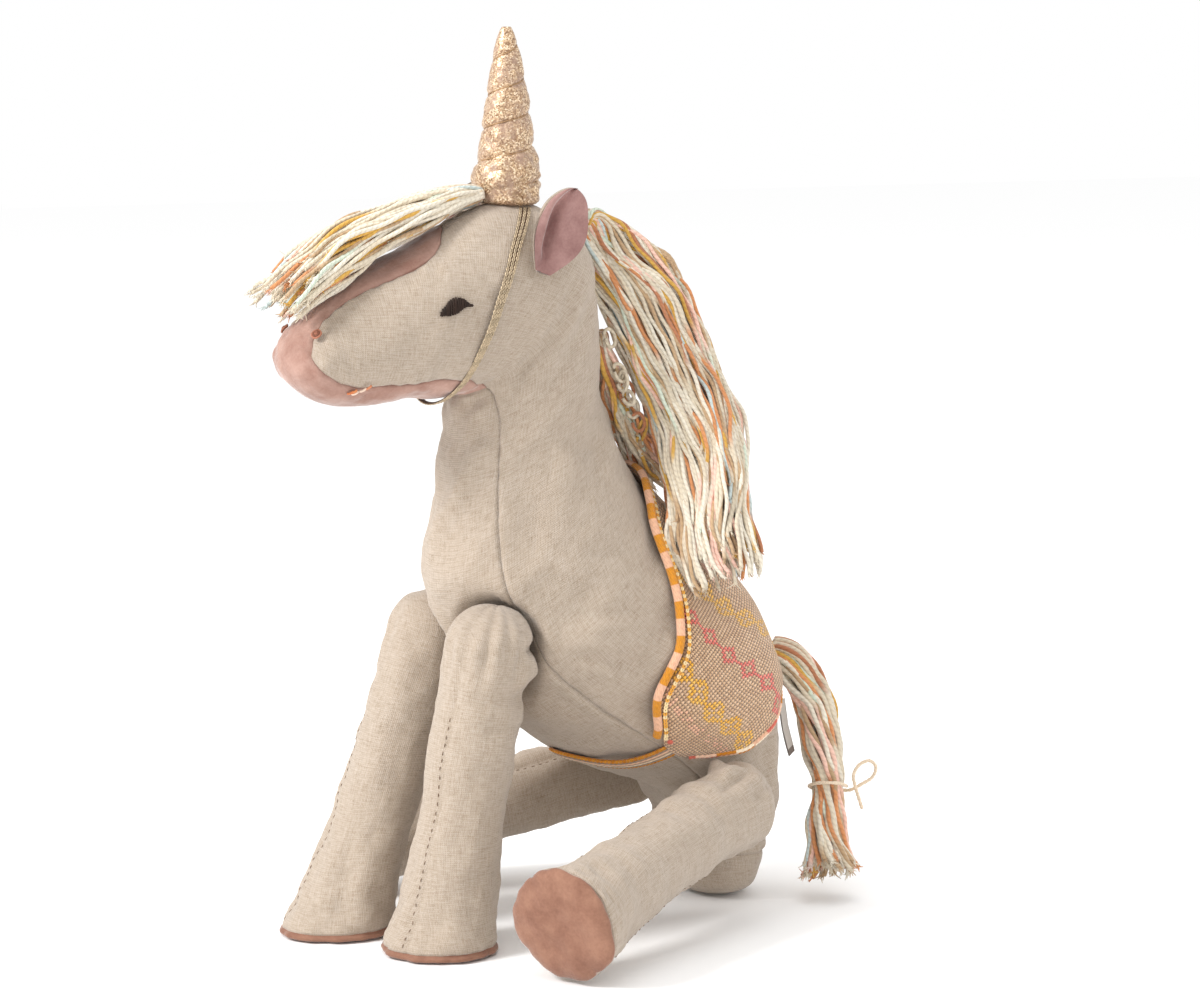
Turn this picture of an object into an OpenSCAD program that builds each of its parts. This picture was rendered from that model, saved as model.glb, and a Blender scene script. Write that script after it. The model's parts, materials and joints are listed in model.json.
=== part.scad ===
// Plush unicorn, sitting on its rump with all four legs forward.
// Millimetres. Nose towards -Y, up is +Z, its left side is +X.
// The origin is the middle of the flat seat under the rump.

/* [Cloth] */
// Thickness of the linen and plush skin, seam allowance included
skin_t = 2; // [1.2:0.1:3]
// Free space between a skin and the filling behind it
skin_gap = 0.3; // [0.1:0.1:0.6]
// Free space between two pieces that move on each other
joint_gap = 0.5; // [0.3:0.1:1]

/* [Legs] */
// Radius of a leg at its rounded top
leg_top_r = 19.8; // [17:0.1:20]
// Radius of the leg tube
leg_r = 18.8; // [16:0.1:20]
// Radius of the foot at its sole
foot_r = 24.6; // [20:0.1:25]
// Length of the flared foot
foot_len = 50; // [30:1:70]
// Thickness of a padded sole
sole_t = 3.2; // [2:0.1:5]

/* [Horn] */
// Height of the horn above its base
horn_h = 72; // [50:1:90]
// Radius of the horn at its base
horn_r = 13.5; // [9:0.5:16]
// Turns of thread wound round the horn
thread_turns = 4; // [2:0.5:6]

/* [Ears] */
// Length of an ear from its fold to its tip
ear_len = 37; // [25:1:45]
// Half of the width of an ear at its widest
ear_half_w = 12.5; // [8:0.5:16]

/* [Bands] */
// Width of the metallic band under the chin
chin_band_w = 5.5; // [4:0.5:8]
// Width of the girth under the belly
girth_w = 8; // [5:0.5:12]
// Thickness of the knitted blanket
blanket_t = 2.6; // [1.5:0.1:4]

/* [Detail] */
// Points around the body
around = 26; // [26:26:52]
// Sides of a yarn hank
hank_sides = 14; // [10:2:24]

/* [Hidden] */
$fn = 64;

linen = "#cfc6b8";
blush = "#c69a8c";
filling = "#f4f1ea";
gold = "#cbb08a";
yarn = "#e8dcc6";
knit = "#c8a98c";
mustard = "#c08a2c";
coral = "#d0706a";
brown = "#3d2b22";

// Sections of the body from the seat, up the neck and over the head to the nose:
// back or top point [y, z], front or bottom point [y, z], half width
body = [
    [11, 0, -11, 0, 13], [18, 5, -18, 5, 22], [22, 20, -22, 22, 28], [25, 45, -26, 38, 35],
    [26, 75, -35, 50, 37.5], [23, 105, -50, 58, 42], [12, 130, -68, 66, 46.5], [-4, 150, -88, 77, 48],
    [-20, 165, -107, 90, 47.5], [-33, 178, -123, 105, 46], [-44, 190, -133, 123, 43],
    [-51, 203, -139, 145, 40], [-56, 217, -139, 168, 37], [-60, 232, -136, 195, 34],
    [-62, 250, -132, 214, 32], [-64, 268, -130, 227, 31], [-67, 285, -131, 230, 31],
    [-75, 298, -134, 229, 32], [-90, 307, -138, 228, 33], [-110, 308, -144, 227, 33],
    [-131, 302, -152, 227, 31.5], [-152, 292, -162, 226, 29], [-172, 282, -174, 226, 26.5],
    [-188, 272, -187, 227, 24], [-200, 263, -198, 231, 21], [-206, 256, -206, 238, 15],
    [-209, 250, -209, 244, 6]];
last = len(body) - 1;

// Places along the sections, counted from the seat
seat_end = 2;
throat = 18.5;
forehead = 20.5;
muzzle_front = 24.5;
// Half angle of the gusset strip about the back line and about the belly line, by section
top_seam = [[0, 30], [20, 10], [20.5, 16], [21, 32], [22, 36], [23, 44], [24.5, 52], [26, 52]];
belly_seam = [[0, 50], [16, 50], [18, 40], [20, 36], [23, 38], [24.5, 46], [26, 46]];

// Centres of the leg tops and of the soles
shoulder = [26, -127, 124];
hip = [46, -20, 50];
front_left_foot = [25.5, -151, 0];
front_right_foot = [25.5, -173, 0];
hind_left_foot = [99, -135, 24.6];
hind_right_foot = [78, -137, 24.6];
// The hind legs lie flat against the hips here
hip_flat_x = 40.3;

// How far a front leg swings back and forward, in degrees
front_swing = [-8, 70];

// Hanks of yarn: [x, y, z, half width, half thickness]
mane_path = [[0, -65, 298, 7, 5], [0.5, -56.5, 288, 11, 6.5], [5, -41.5, 266, 18, 11],
    [14, -30.5, 236.5, 18.5, 12], [26.5, -25.5, 210, 19.5, 12.5], [37, -27.5, 188, 19, 12.5], [46, -30.5, 170, 17, 9],
    [50.5, -27.5, 154, 13, 7]];
forelock_path = [[0, -121, 312, 7, 4.5], [0, -134, 309.5, 12, 6], [0, -154, 303, 15, 8.5],
    [0, -176, 293.5, 17, 10], [0, -196, 281.5, 18, 10.5], [0, -211, 270, 16, 8.5]];
tail_path = [[0, 30, 107, 6, 4.5], [6, 37, 101, 9, 7.5], [13, 44.5, 84, 9.5, 9], [20, 44.5, 67, 9, 9],
    [24, 44.5, 55, 8, 8], [27, 43.5, 45, 7, 7], [32, 39.5, 33, 9.5, 9], [36, 37.5, 21, 11, 10.5],
    [40, 36, 9, 13, 11]];
// Route of the yarn tied round the tail: once round it, then a loop and a loose end
tie_path = [[30.8, 51.1, 47], [34.4, 44.1, 49.8], [30.1, 36.9, 50], [22.2, 36.7, 47.1], [18.6, 43.7, 44.2],
    [23, 50.9, 44], [29, 54, 44.5], [33.8, 57, 47.8], [36.3, 61, 51], [37, 62.4, 55.5], [35.5, 60, 58.4],
    [33.2, 56.1, 56.6], [32.4, 53.6, 52.2], [34.6, 52.8, 48], [36.2, 53.6, 43], [37.2, 55, 37.5]];
tie_r = 0.9;

// Rim of the blanket by angle from the back line: section of its lower rim and of its front rim
blanket_low = [[0, 6.1], [20, 5.2], [32, 4.7], [60, 4.5], [93, 4.55], [106, 4.8], [118, 5.1], [125, 5.45]];
blanket_front = [[0, 10.1], [30, 9.9], [50, 9.3], [57, 8.6], [67, 7.9], [84, 7.2], [98, 7], [109, 6.8],
    [125, 5.9]];
blanket_end = 125;
// Section of the middle of the girth by angle from the back line
girth_line = [[128, 5.7], [140, 5.75], [150, 5.85], [160, 6.1], [170, 6.4], [180, 6.5]];
chin_band_at = 19;
ear_at = [18.1, 70];
eye_at = [20.3, 81];
nostril_at = [24, 44];
mouth_at = [22.9, 128];
// Length of one section step along the skin, about the same over the whole body
section_step = 21.5;
// How far down the front legs press the chest in
way_len = 45;
// Half of an ear's width where it is sewn on, and how far its rims stand out
ear_root_half_w = 3.5;
ear_cup = 5;

function unit(v) = v / norm(v);
// Catmull-Rom curve through the rows of a table
function along(rows, u) =
    let (n = len(rows) - 1, i = min(floor(u), n - 1), f = u - i,
        a = rows[max(i - 1, 0)], b = rows[i], c = rows[i + 1], d = rows[min(i + 2, n)])
    0.5 * (2 * b + (c - a) * f + (2 * a - 5 * b + 4 * c - d) * f * f + (3 * b - a - 3 * c + d) * f * f * f);
// Point of the body at section u, t degrees round from the back line towards the left
function skin_point(u, t) =
    let (s = along(body, u), back = [s[0], s[1]], front = [s[2], s[3]],
        p = (back + front) / 2 + cos(t) * (back - front) / 2)
    [s[4] * sin(t), p[0], p[1]];
function skin_normal(u, t) =
    let (a = max(u - 0.1, 0), b = min(u + 0.1, last))
    unit(cross(skin_point(b, t) - skin_point(a, t), skin_point(u, t + 2) - skin_point(u, t - 2)));
function over_skin(u, t, h) = skin_point(u, t) + h * skin_normal(u, t);

// Angles of the grid lines at section u: three cells of top strip, seven of side, three of belly strip
function half_angles(u) =
    let (a = lookup(u, top_seam), b = 180 - lookup(u, belly_seam))
    [for (k = [0:2]) a * k / 3, for (k = [0:6]) a + (b - a) * k / 7, for (k = [0:3]) b + (180 - b) * k / 3];
function ring_angles(u) =
    let (h = half_angles(u), n = len(h) - 1)
    [for (k = [0:n]) h[k], for (k = [n - 1:-1:1]) 360 - h[k]];
rows_per_section = 2;
row_count = last * rows_per_section;
function grid(depth) =
    [for (i = [0:row_count]) let (u = i / rows_per_section)
        [for (t = ring_angles(u)) over_skin(u, t, -depth)]];
outer_grid = grid(0);
inner_grid = grid(skin_t);
filling_grid = grid(skin_t + skin_gap);

// Which piece a cell of the skin belongs to, from its section u and its place j round the body
function in_top(j) = j < 3 || j > 22;
function in_belly(j) = j > 9 && j < 16;
function cell_piece(i, j) =
    let (u = i / rows_per_section)
    u < seat_end ? "seat"
    : u >= muzzle_front ? "muzzle"
    : in_top(j) && u >= forehead ? "muzzle"
    : in_belly(j) ? (u >= throat ? "muzzle" : "chest")
    : j < 13 ? "left" : "right";

// The cells of one piece, made into a closed solid between the outer and the inner surface
module skin_piece(piece) {
    n = around;
    inner_at = (row_count + 1) * n;
    function at(i, j) = i * n + (j + n) % n;
    function ours(i, j) = i >= 0 && i < row_count && cell_piece(i, (j + n) % n) == piece;
    cells = [for (i = [0:row_count - 1], j = [0:n - 1]) if (ours(i, j)) [i, j]];
    function wall(a, b) = [[a, b, b + inner_at], [a, b + inner_at, a + inner_at]];
    faces = [for (c = cells) let (i = c[0], j = c[1],
            p = at(i, j), q = at(i + 1, j), r = at(i + 1, j + 1), s = at(i, j + 1))
        each concat([[p, r, q], [p, s, r]],
            [[p + inner_at, q + inner_at, r + inner_at], [p + inner_at, r + inner_at, s + inner_at]],
            ours(i - 1, j) || (i == 0) ? [] : wall(s, p),
            ours(i + 1, j) || (i == row_count - 1) ? [] : wall(q, r),
            ours(i, j - 1) ? [] : wall(p, q),
            ours(i, j + 1) ? [] : wall(r, s))];
    function row(i) = [for (j = [0:n - 1]) at(i, j)];
    function row_back(i) = [for (j = [n - 1:-1:0]) at(i, j)];
    inner = inner_at * [for (j = [1:n]) 1];
    start_caps = [row_back(0), row(0) + inner];
    end_caps = [row(row_count), row_back(row_count) + inner];
    polyhedron([each each outer_grid, each each inner_grid],
        concat(faces, piece == "seat" ? start_caps : [], piece == "muzzle" ? end_caps : []), convexity = 8);
}

// Closed solid between two matching grids of points
module slab(a, b) {
    m = len(a);
    n = len(a[0]);
    under = m * n;
    quads = [for (i = [0:m - 2], j = [0:n - 2]) let (k = i * n + j) [k, k + n, k + n + 1, k + 1]];
    rim = concat([for (j = [0:n - 1]) j], [for (i = [1:m - 1]) i * n + n - 1],
        [for (j = [n - 2:-1:0]) (m - 1) * n + j], [for (i = [m - 2:-1:1]) i * n]);
    polyhedron([each each a, each each b],
        [for (q = quads) each [[q[0], q[1], q[2]], [q[0], q[2], q[3]]],
        for (q = quads) each [[q[2], q[1], q[0]] + under * [1, 1, 1], [q[3], q[2], q[0]] + under * [1, 1, 1]],
        for (k = [0:len(rim) - 1]) let (p = rim[k], q = rim[(k + 1) % len(rim)])
            each [[p, q, q + under], [p, q + under, p + under]]], convexity = 6);
}

// Solid through closed rings of points, with flat ends
module rings_solid(rings) {
    n = len(rings[0]);
    m = len(rings) - 1;
    polyhedron([each rings[0], for (i = [1:m]) each rings[i]],
        [for (i = [0:m - 1], j = [0:n - 1]) let (k = (j + 1) % n)
            each [[i * n + j, (i + 1) * n + k, (i + 1) * n + j], [i * n + j, i * n + k, (i + 1) * n + k]],
        [for (j = [n - 1:-1:0]) j], [for (j = [0:n - 1]) m * n + j]], convexity = 6);
}

// Elliptical hank of yarn along a path of [x, y, z, half width, half thickness], wide along one direction
module hank(path, per_step = 3, wide_to = [1, 0, 0]) {
    count = (len(path) - 1) * per_step;
    function row(k) = along(path, k / per_step);
    function place(r) = [r[0], r[1], r[2]];
    rings = [for (k = [0:count]) let (r = row(k),
            run = unit(place(row(min(k + 1, count))) - place(row(max(k - 1, 0)))),
            thick = unit(cross(run, wide_to)), wide = cross(thick, run))
        [for (j = [0:hank_sides - 1]) let (a = 360 * j / hank_sides)
            place(r) + r[3] * cos(a) * wide - r[4] * sin(a) * thick]];
    rings_solid(rings);
}

// Round tube of radius r through a list of points
module tube(points, r, sides = 8, steady = [0, 0, 1]) {
    m = len(points) - 1;
    rings = [for (k = [0:m]) let (run = unit(points[min(k + 1, m)] - points[max(k - 1, 0)]),
            e = unit(cross(run, steady)), f = cross(e, run))
        [for (j = [0:sides - 1]) let (a = 360 * j / sides) points[k] + r * (cos(a) * e + sin(a) * f)]];
    rings_solid(rings);
}

// Stands the children at a point with their Z axis along a direction
module stand_at(p, d) {
    translate(p) rotate([0, acos(d[2] / norm(d)), atan2(d[1], d[0])]) children();
}

module on_right() {
    mirror([1, 0, 0]) children();
}

// Body of skin and filling

// One mesh of what is left of a body piece beside the front legs' way
module clear_of_front_legs() {
    resize([0, 0, 0]) difference() {
        children();
        leg_way();
        on_right() leg_way();
    }
}

// Wedge that the top of the left front leg sweeps
module leg_way() {
    r = leg_top_r + joint_gap;
    rest = atan2(shoulder[1] - front_left_foot[1], shoulder[2]);
    translate(shoulder) hull() {
        sphere(r, $fn = 32);
        for (a = front_swing) rotate([-rest - a, 0, 0]) translate([0, 0, -way_len])
            cylinder(h = way_len, r = r, $fn = 32);
    }
}

module side_panel_left() {
    color(linen) clear_of_front_legs() skin_piece("left");
}

module side_panel_right() {
    color(linen) clear_of_front_legs() skin_piece("right");
}

module muzzle_gusset() {
    color(blush) skin_piece("muzzle");
}

module chest_gusset() {
    color(linen) clear_of_front_legs() skin_piece("chest");
}

module seat_panel() {
    color(linen) skin_piece("seat");
}

module body_stuffing() {
    color(filling) clear_of_front_legs() rings_solid(filling_grid);
}

// Legs

// Outline of a leg of length len from its top centre at 0 to its sole, moved inwards by depth
function leg_radius(s, len) =
    let (k = max(0, 1 - (len - s) / foot_len))
    leg_r + (leg_top_r - leg_r) * max(0, 1 - s / 30) + (foot_r - leg_r) * pow(k, 1.5);
function leg_outline(len, depth, end) =
    let (stop = min(len, end), r = leg_radius(stop, len) - depth)
    concat([[0, -leg_top_r + depth]],
        [for (a = [75:-15:0]) [(leg_top_r - depth) * cos(a), -(leg_top_r - depth) * sin(a)]],
        [for (s = [10:10:stop - 5]) [leg_radius(s, len) - depth, s]],
        [[r, stop]], end > stop ? [[r, end]] : [], [[0, end]]);

module leg_turned(len, depth, end) {
    rotate_extrude() polygon(leg_outline(len, depth, end));
}

// Front leg, cut level between heights low and high
module front_leg_solid(foot, depth, low, high) {
    run = foot - shoulder;
    intersection() {
        stand_at(shoulder, run) leg_turned(norm(run), depth, norm(run) + 16);
        translate([-60, -260, low]) cube([150, 200, high - low]);
    }
}

module front_cover(foot) {
    color(linen) difference() {
        front_leg_solid(foot, 0, sole_t, 200);
        front_leg_solid(foot, skin_t, 0, 200);
    }
}

module front_stuffing(foot) {
    color(filling) front_leg_solid(foot, skin_t + skin_gap, sole_t + skin_gap, 200);
}

module front_sole(foot) {
    color(blush) front_leg_solid(foot, 0, 0, sole_t - 0.05);
}

// Hind leg, flat where it meets the hip
module hind_leg_solid(foot, depth, from_end) {
    run = foot - hip;
    intersection() {
        stand_at(hip, run) leg_turned(norm(run), depth, norm(run) - from_end);
        translate([hip_flat_x + depth, -300, -60]) cube([200, 400, 200]);
    }
}

module hind_cover(foot) {
    color(linen) difference() {
        hind_leg_solid(foot, 0, sole_t);
        hind_leg_solid(foot, skin_t, 0);
    }
}

module hind_stuffing(foot) {
    color(filling) hind_leg_solid(foot, skin_t + skin_gap, sole_t + skin_gap);
}

module hind_sole(foot) {
    run = foot - hip;
    color(blush) stand_at(hip, run) translate([0, 0, norm(run) - sole_t + 0.05]) rotate_extrude()
        polygon([[0, 0], [foot_r, 0], [foot_r - 0.3, 0.4 * sole_t], [foot_r - 1.8, 0.75 * sole_t],
            [foot_r - 5, sole_t], [0, sole_t]]);
}

module front_left_leg_cover() {
    front_cover(front_left_foot);
}

module front_left_leg_stuffing() {
    front_stuffing(front_left_foot);
}

module front_left_sole() {
    front_sole(front_left_foot);
}

module front_right_leg_cover() {
    on_right() front_cover(front_right_foot);
}

module front_right_leg_stuffing() {
    on_right() front_stuffing(front_right_foot);
}

module front_right_sole() {
    on_right() front_sole(front_right_foot);
}

module hind_left_leg_cover() {
    hind_cover(hind_left_foot);
}

module hind_left_leg_stuffing() {
    hind_stuffing(hind_left_foot);
}

module hind_left_sole() {
    hind_sole(hind_left_foot);
}

module hind_right_leg_cover() {
    on_right() hind_cover(hind_right_foot);
}

module hind_right_leg_stuffing() {
    on_right() hind_stuffing(hind_right_foot);
}

module hind_right_sole() {
    on_right() hind_sole(hind_right_foot);
}

// Ears

// Point of an ear: s along it, v across it from its front rim, h out of its lining side
function ear_point(s, v, h) =
    let (root = over_skin(ear_at[0], ear_at[1], 1), up = unit([0.05, 0.42, 1]), out = [1, 0, 0],
        back = cross(up, out), w = s < 0.5 ? ear_root_half_w + (ear_half_w - ear_root_half_w) * sin(180 * s)
            : ear_half_w * sqrt(max(0.02, 1 - pow(2 * s - 1, 2))))
    root + ear_len * s * up + w * v * back + (h + ear_cup * v * v * sin(150 * s + 30)) * out;

module ear_layer(low, high) {
    function layer(h) = [for (s = [0:0.0625:1]) [for (v = [-1:0.25:1]) ear_point(s, v, h)]];
    slab(layer(high), layer(low));
}

module ear_outer() {
    color(linen) ear_layer(0, 1.6);
}

module ear_lining() {
    color(blush) ear_layer(1.7, 3);
}

module left_ear_outer() {
    ear_outer();
}

module left_ear_lining() {
    ear_lining();
}

module right_ear_outer() {
    on_right() ear_outer();
}

module right_ear_lining() {
    on_right() ear_lining();
}

// Horn

horn_foot = [0, -104, 310];
horn_wall = 1.2;
horn_base_t = 1.6;
thread_r = 0.6;
function horn_radius(z) = horn_r * pow(1 - z / (horn_h + 1), 0.72) + 1.1 * sin(180 * min(1, z / 18));

module horn_turned(depth, low) {
    rotate_extrude() polygon(concat([[0, low]],
        [for (z = [low:4:horn_h - 4]) [max(0.3, horn_radius(z) - depth), z]],
        [[max(0.2, horn_radius(horn_h) - depth), horn_h - depth], [0, horn_h - depth]]));
}

module horn_cover() {
    color(gold) translate(horn_foot) difference() {
        horn_turned(0, horn_base_t);
        horn_turned(horn_wall, horn_base_t - 0.01);
    }
}

module horn_stuffing() {
    color(filling) translate(horn_foot) horn_turned(horn_wall + 0.2, horn_base_t + 0.1);
}

module horn_base() {
    color(gold) translate(horn_foot) cylinder(h = horn_base_t - 0.05, r = horn_r);
}

module horn_thread() {
    turn = 24;
    count = thread_turns * turn;
    rise = horn_h - 16;
    points = [for (k = [0:count]) let (z = 6 + rise * k / count, r = horn_radius(z) + thread_r + 0.25)
        horn_foot + [r * cos(360 * k / turn), r * sin(360 * k / turn), z]];
    color(mustard) tube(points, thread_r, 6);
}

module chin_elastic() {
    half = chin_band_w / 2 / section_step;
    function strip(h) = [for (t = [26:7:334]) [for (s = [-1, 1]) over_skin(chin_band_at + s * half, t, h)]];
    color(gold) slab(strip(1.5), strip(0.4));
}

// Yarn

module mane() {
    color(yarn) hank(mane_path, wide_to = [0.55, 0.83, 0]);
}

module mane_loops() {
    path = [for (u = [13.7:-0.9:10.5]) let (p = over_skin(u, 0, 5)) [p[0], p[1], p[2], 6, 4]];
    color(knit) hank(path);
}

module forelock() {
    color(yarn) hank(forelock_path);
}

module tail() {
    color(yarn) hank(tail_path);
}

module tail_tie() {
    steps = 4;
    count = (len(tie_path) - 1) * steps;
    color(yarn) tube([for (k = [0:count]) along(tie_path, k / steps)], tie_r, 8);
}

// Blanket

function blanket_row(t, h, inset) =
    let (low = lookup(abs(t), blanket_low) + inset, high = lookup(abs(t), blanket_front) - inset)
    [for (k = [0:8]) over_skin(low + (high - low) * k / 8, t, h)];

module saddle_blanket() {
    function sheet(h) = [for (t = [-blanket_end:6.25:blanket_end]) blanket_row(t, h, 0.05)];
    color(knit) slab(sheet(blanket_t + 0.4), sheet(0.4));
}

module blanket_front_roll() {
    r = 2;
    points = [for (t = [-blanket_end + 2:6.05:blanket_end - 2])
        over_skin(lookup(abs(t), blanket_front) + 0.19, t, r + 0.5)];
    color(mustard) tube(points, r, 8, [0, 0.6, -0.8]);
}

module blanket_edge_stitch() {
    r = 1.2;
    points = [for (t = [-blanket_end + 4:6.05:blanket_end - 4])
        over_skin(lookup(abs(t), blanket_low) - 0.06, t, r + 0.5)];
    color(coral) tube(points, r, 8, [0, 0.6, -0.8]);
}

module girth_elastic() {
    half = girth_w / 2 / section_step;
    function middle(t) = lookup(min(t, 360 - t), girth_line);
    function strip(h) = [for (t = [128:6.5:232]) [for (s = [-1, 1]) over_skin(middle(t) + s * half, t, h)]];
    color(mustard) slab(strip(1.6), strip(0.4));
}

// Blank tab that hangs from the back rim of the blanket
label_at = [21, 22, 87];
label_w = 12;
label_len = 24;
label_t = 0.8;
label_turn = 45;
label_lean = 12;

module label() {
    color("#8d8a86") translate(label_at) rotate([0, 0, -label_turn]) rotate([label_lean, 0, 0])
        translate([-label_w / 2, 0, -label_len]) cube([label_w, label_t, label_len]);
}

// Face

module eye_shape() {
    function sheet(h) = [for (s = [-1:0.2:1]) [for (v = [-1:0.5:1])
        over_skin(eye_at[0] + 0.22 * s, eye_at[1] + 3.6 * v * sqrt(max(0.04, 1 - s * s)), h)]];
    color(brown) slab(sheet(0.1), sheet(0.9));
}

module left_eye() {
    eye_shape();
}

module right_eye() {
    on_right() eye_shape();
}

module nostril_knot() {
    stand_at(over_skin(nostril_at[0], nostril_at[1], 1.3), skin_normal(nostril_at[0], nostril_at[1]))
        rotate_extrude() translate([1.6, 0]) circle(1, $fn = 24);
}

module nostril_knots() {
    color("#b0705c") nostril_knot();
    color("#b0705c") on_right() nostril_knot();
}

module mouth_stitch() {
    run = skin_point(mouth_at[0] + 0.1, mouth_at[1]) - skin_point(mouth_at[0] - 0.1, mouth_at[1]);
    stand_at(over_skin(mouth_at[0] - 0.1, mouth_at[1], 1), run) cylinder(h = 4, r = 0.6, $fn = 24);
}

module mouth_stitches() {
    color("#c9794a") mouth_stitch();
    color("#c9794a") on_right() mouth_stitch();
}

side_panel_left();
side_panel_right();
muzzle_gusset();
chest_gusset();
seat_panel();
body_stuffing();
front_left_leg_cover();
front_left_leg_stuffing();
front_left_sole();
front_right_leg_cover();
front_right_leg_stuffing();
front_right_sole();
hind_left_leg_cover();
hind_left_leg_stuffing();
hind_left_sole();
hind_right_leg_cover();
hind_right_leg_stuffing();
hind_right_sole();
left_ear_outer();
left_ear_lining();
right_ear_outer();
right_ear_lining();
horn_cover();
horn_stuffing();
horn_base();
horn_thread();
chin_elastic();
mane();
mane_loops();
forelock();
tail();
tail_tie();
saddle_blanket();
blanket_front_roll();
blanket_edge_stitch();
girth_elastic();
label();
left_eye();
right_eye();
nostril_knots();
mouth_stitches();
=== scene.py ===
import json
import math

import bmesh
import bpy
import numpy as np
from mathutils import Matrix, Vector
from mathutils.kdtree import KDTree

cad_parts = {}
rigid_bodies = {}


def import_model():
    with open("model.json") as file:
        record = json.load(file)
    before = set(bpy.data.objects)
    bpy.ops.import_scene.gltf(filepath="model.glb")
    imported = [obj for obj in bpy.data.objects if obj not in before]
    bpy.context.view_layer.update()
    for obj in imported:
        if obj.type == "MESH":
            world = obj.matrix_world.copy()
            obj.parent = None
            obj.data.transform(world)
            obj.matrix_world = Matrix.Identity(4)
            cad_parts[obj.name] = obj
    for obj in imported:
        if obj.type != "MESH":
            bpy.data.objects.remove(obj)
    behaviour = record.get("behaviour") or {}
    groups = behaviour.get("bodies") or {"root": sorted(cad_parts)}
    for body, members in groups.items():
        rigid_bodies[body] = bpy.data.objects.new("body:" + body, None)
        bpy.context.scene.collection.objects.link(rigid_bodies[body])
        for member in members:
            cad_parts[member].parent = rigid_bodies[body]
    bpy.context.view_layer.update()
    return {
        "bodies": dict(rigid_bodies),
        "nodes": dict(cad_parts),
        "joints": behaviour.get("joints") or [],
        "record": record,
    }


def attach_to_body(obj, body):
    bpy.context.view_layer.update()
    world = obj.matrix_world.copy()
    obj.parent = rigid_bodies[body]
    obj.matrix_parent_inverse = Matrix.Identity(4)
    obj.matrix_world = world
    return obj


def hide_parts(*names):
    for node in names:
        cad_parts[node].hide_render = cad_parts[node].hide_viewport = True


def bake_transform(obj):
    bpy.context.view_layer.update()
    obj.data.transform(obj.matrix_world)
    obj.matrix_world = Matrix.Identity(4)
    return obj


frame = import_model()
draw = np.random.default_rng(11)

# The object's own sizes, in millimetres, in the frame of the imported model:
# nose towards -Y, up is +Z, its left side is +X.
MM = 0.001

# Sections of the body from the seat, up the neck and over the head to the nose:
# back or top point y, z, front or bottom point y, z, half width
BODY = [
    [11, 0, -11, 0, 13], [18, 5, -18, 5, 22], [22, 20, -22, 22, 28], [25, 45, -26, 38, 35],
    [26, 75, -35, 50, 37.5], [23, 105, -50, 58, 42], [12, 130, -68, 66, 46.5], [-4, 150, -88, 77, 48],
    [-20, 165, -107, 90, 47.5], [-33, 178, -123, 105, 46], [-44, 190, -133, 123, 43],
    [-51, 203, -139, 145, 40], [-56, 217, -139, 168, 37], [-60, 232, -136, 195, 34],
    [-62, 250, -132, 214, 32], [-64, 268, -130, 227, 31], [-67, 285, -131, 230, 31],
    [-75, 298, -134, 229, 32], [-90, 307, -138, 228, 33], [-110, 308, -144, 227, 33],
    [-131, 302, -152, 227, 31.5], [-152, 292, -162, 226, 29], [-172, 282, -174, 226, 26.5],
    [-188, 272, -187, 227, 24], [-200, 263, -198, 231, 21], [-206, 256, -206, 238, 15],
    [-209, 250, -209, 244, 6]]
LAST = len(BODY) - 1
SECTION_STEP = 21.5

# Seams as (section, degrees from the back line): edge of the plush over the face, and of the
# chest and chin strips
TOP_SEAM = [[20.2, 0], [20.27, 7], [20.38, 14], [20.5, 25], [20.7, 32], [20.95, 35.5], [21.7, 35],
    [22.5, 28.5], [23.2, 25], [23.6, 25.5], [24, 32], [24.3, 42], [24.5, 54], [24.62, 68]]
BELLY_SEAM = [[2, 127], [9, 129], [13.3, 131], [14, 133], [14.8, 139], [15.4, 145], [16, 146], [17, 145],
    [18, 141], [19.2, 137], [21.2, 134], [22.5, 130], [23.4, 120], [24, 106], [24.3, 96], [24.5, 87],
    [24.62, 76]]
SEAT_END = 2.0
THROAT = 15.4
FOREHEAD = 20.2
NOSE = 24.62

SHOULDER = (26, -127, 124)
HIP = (46, -20, 50)
FEET = {"front_left": (25.5, -151, 0), "front_right": (25.5, -173, 0), "hind_left": (99, -135, 24.6),
    "hind_right": (78, -137, 24.6)}
LEG_TOP_R = 19.8
LEG_R = 18.8
FOOT_R = 24.6
FOOT_LEN = 50
SOLE_T = 3.2
HIP_FLAT_X = 40.3
GAP = 0.4
# Swing of a front leg in degrees, and how far down the leg the chest leaves room for it
SWEEP, SWEEP_REACH = (-8, 70), 45


def unit(v):
    v = np.asarray(v, float)
    return v / np.linalg.norm(v, axis=-1, keepdims=True)


def along(rows, u):
    """Catmull-Rom curve through the rows of a table."""
    rows = np.asarray(rows, float)
    u = np.clip(np.asarray(u, float), 0, len(rows) - 1)
    i = np.minimum(u.astype(int), len(rows) - 2)
    f = (u - i)[..., None]
    a, b = rows[np.maximum(i - 1, 0)], rows[i]
    c, d = rows[i + 1], rows[np.minimum(i + 2, len(rows) - 1)]
    return 0.5 * (2 * b + (c - a) * f + (2 * a - 5 * b + 4 * c - d) * f**2 + (3 * b - a - 3 * c + d) * f**3)


def skin(u, t):
    """Point of the body at section u, t degrees round from the back line towards its left."""
    s = along(BODY, u)
    a = np.radians(t)[..., None]
    yz = (s[..., 0:2] + s[..., 2:4]) / 2 + np.cos(a) * (s[..., 0:2] - s[..., 2:4]) / 2
    return np.concatenate([s[..., 4:5] * np.sin(a), yz], axis=-1)


def skin_normal(u, t):
    u, t = np.broadcast_arrays(np.asarray(u, float), np.asarray(t, float))
    low, high = np.maximum(u - 0.1, 0), np.minimum(u + 0.1, LAST)
    return unit(np.cross(skin(high, t) - skin(low, t), skin(u, t + 2) - skin(u, t - 2)))


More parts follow.
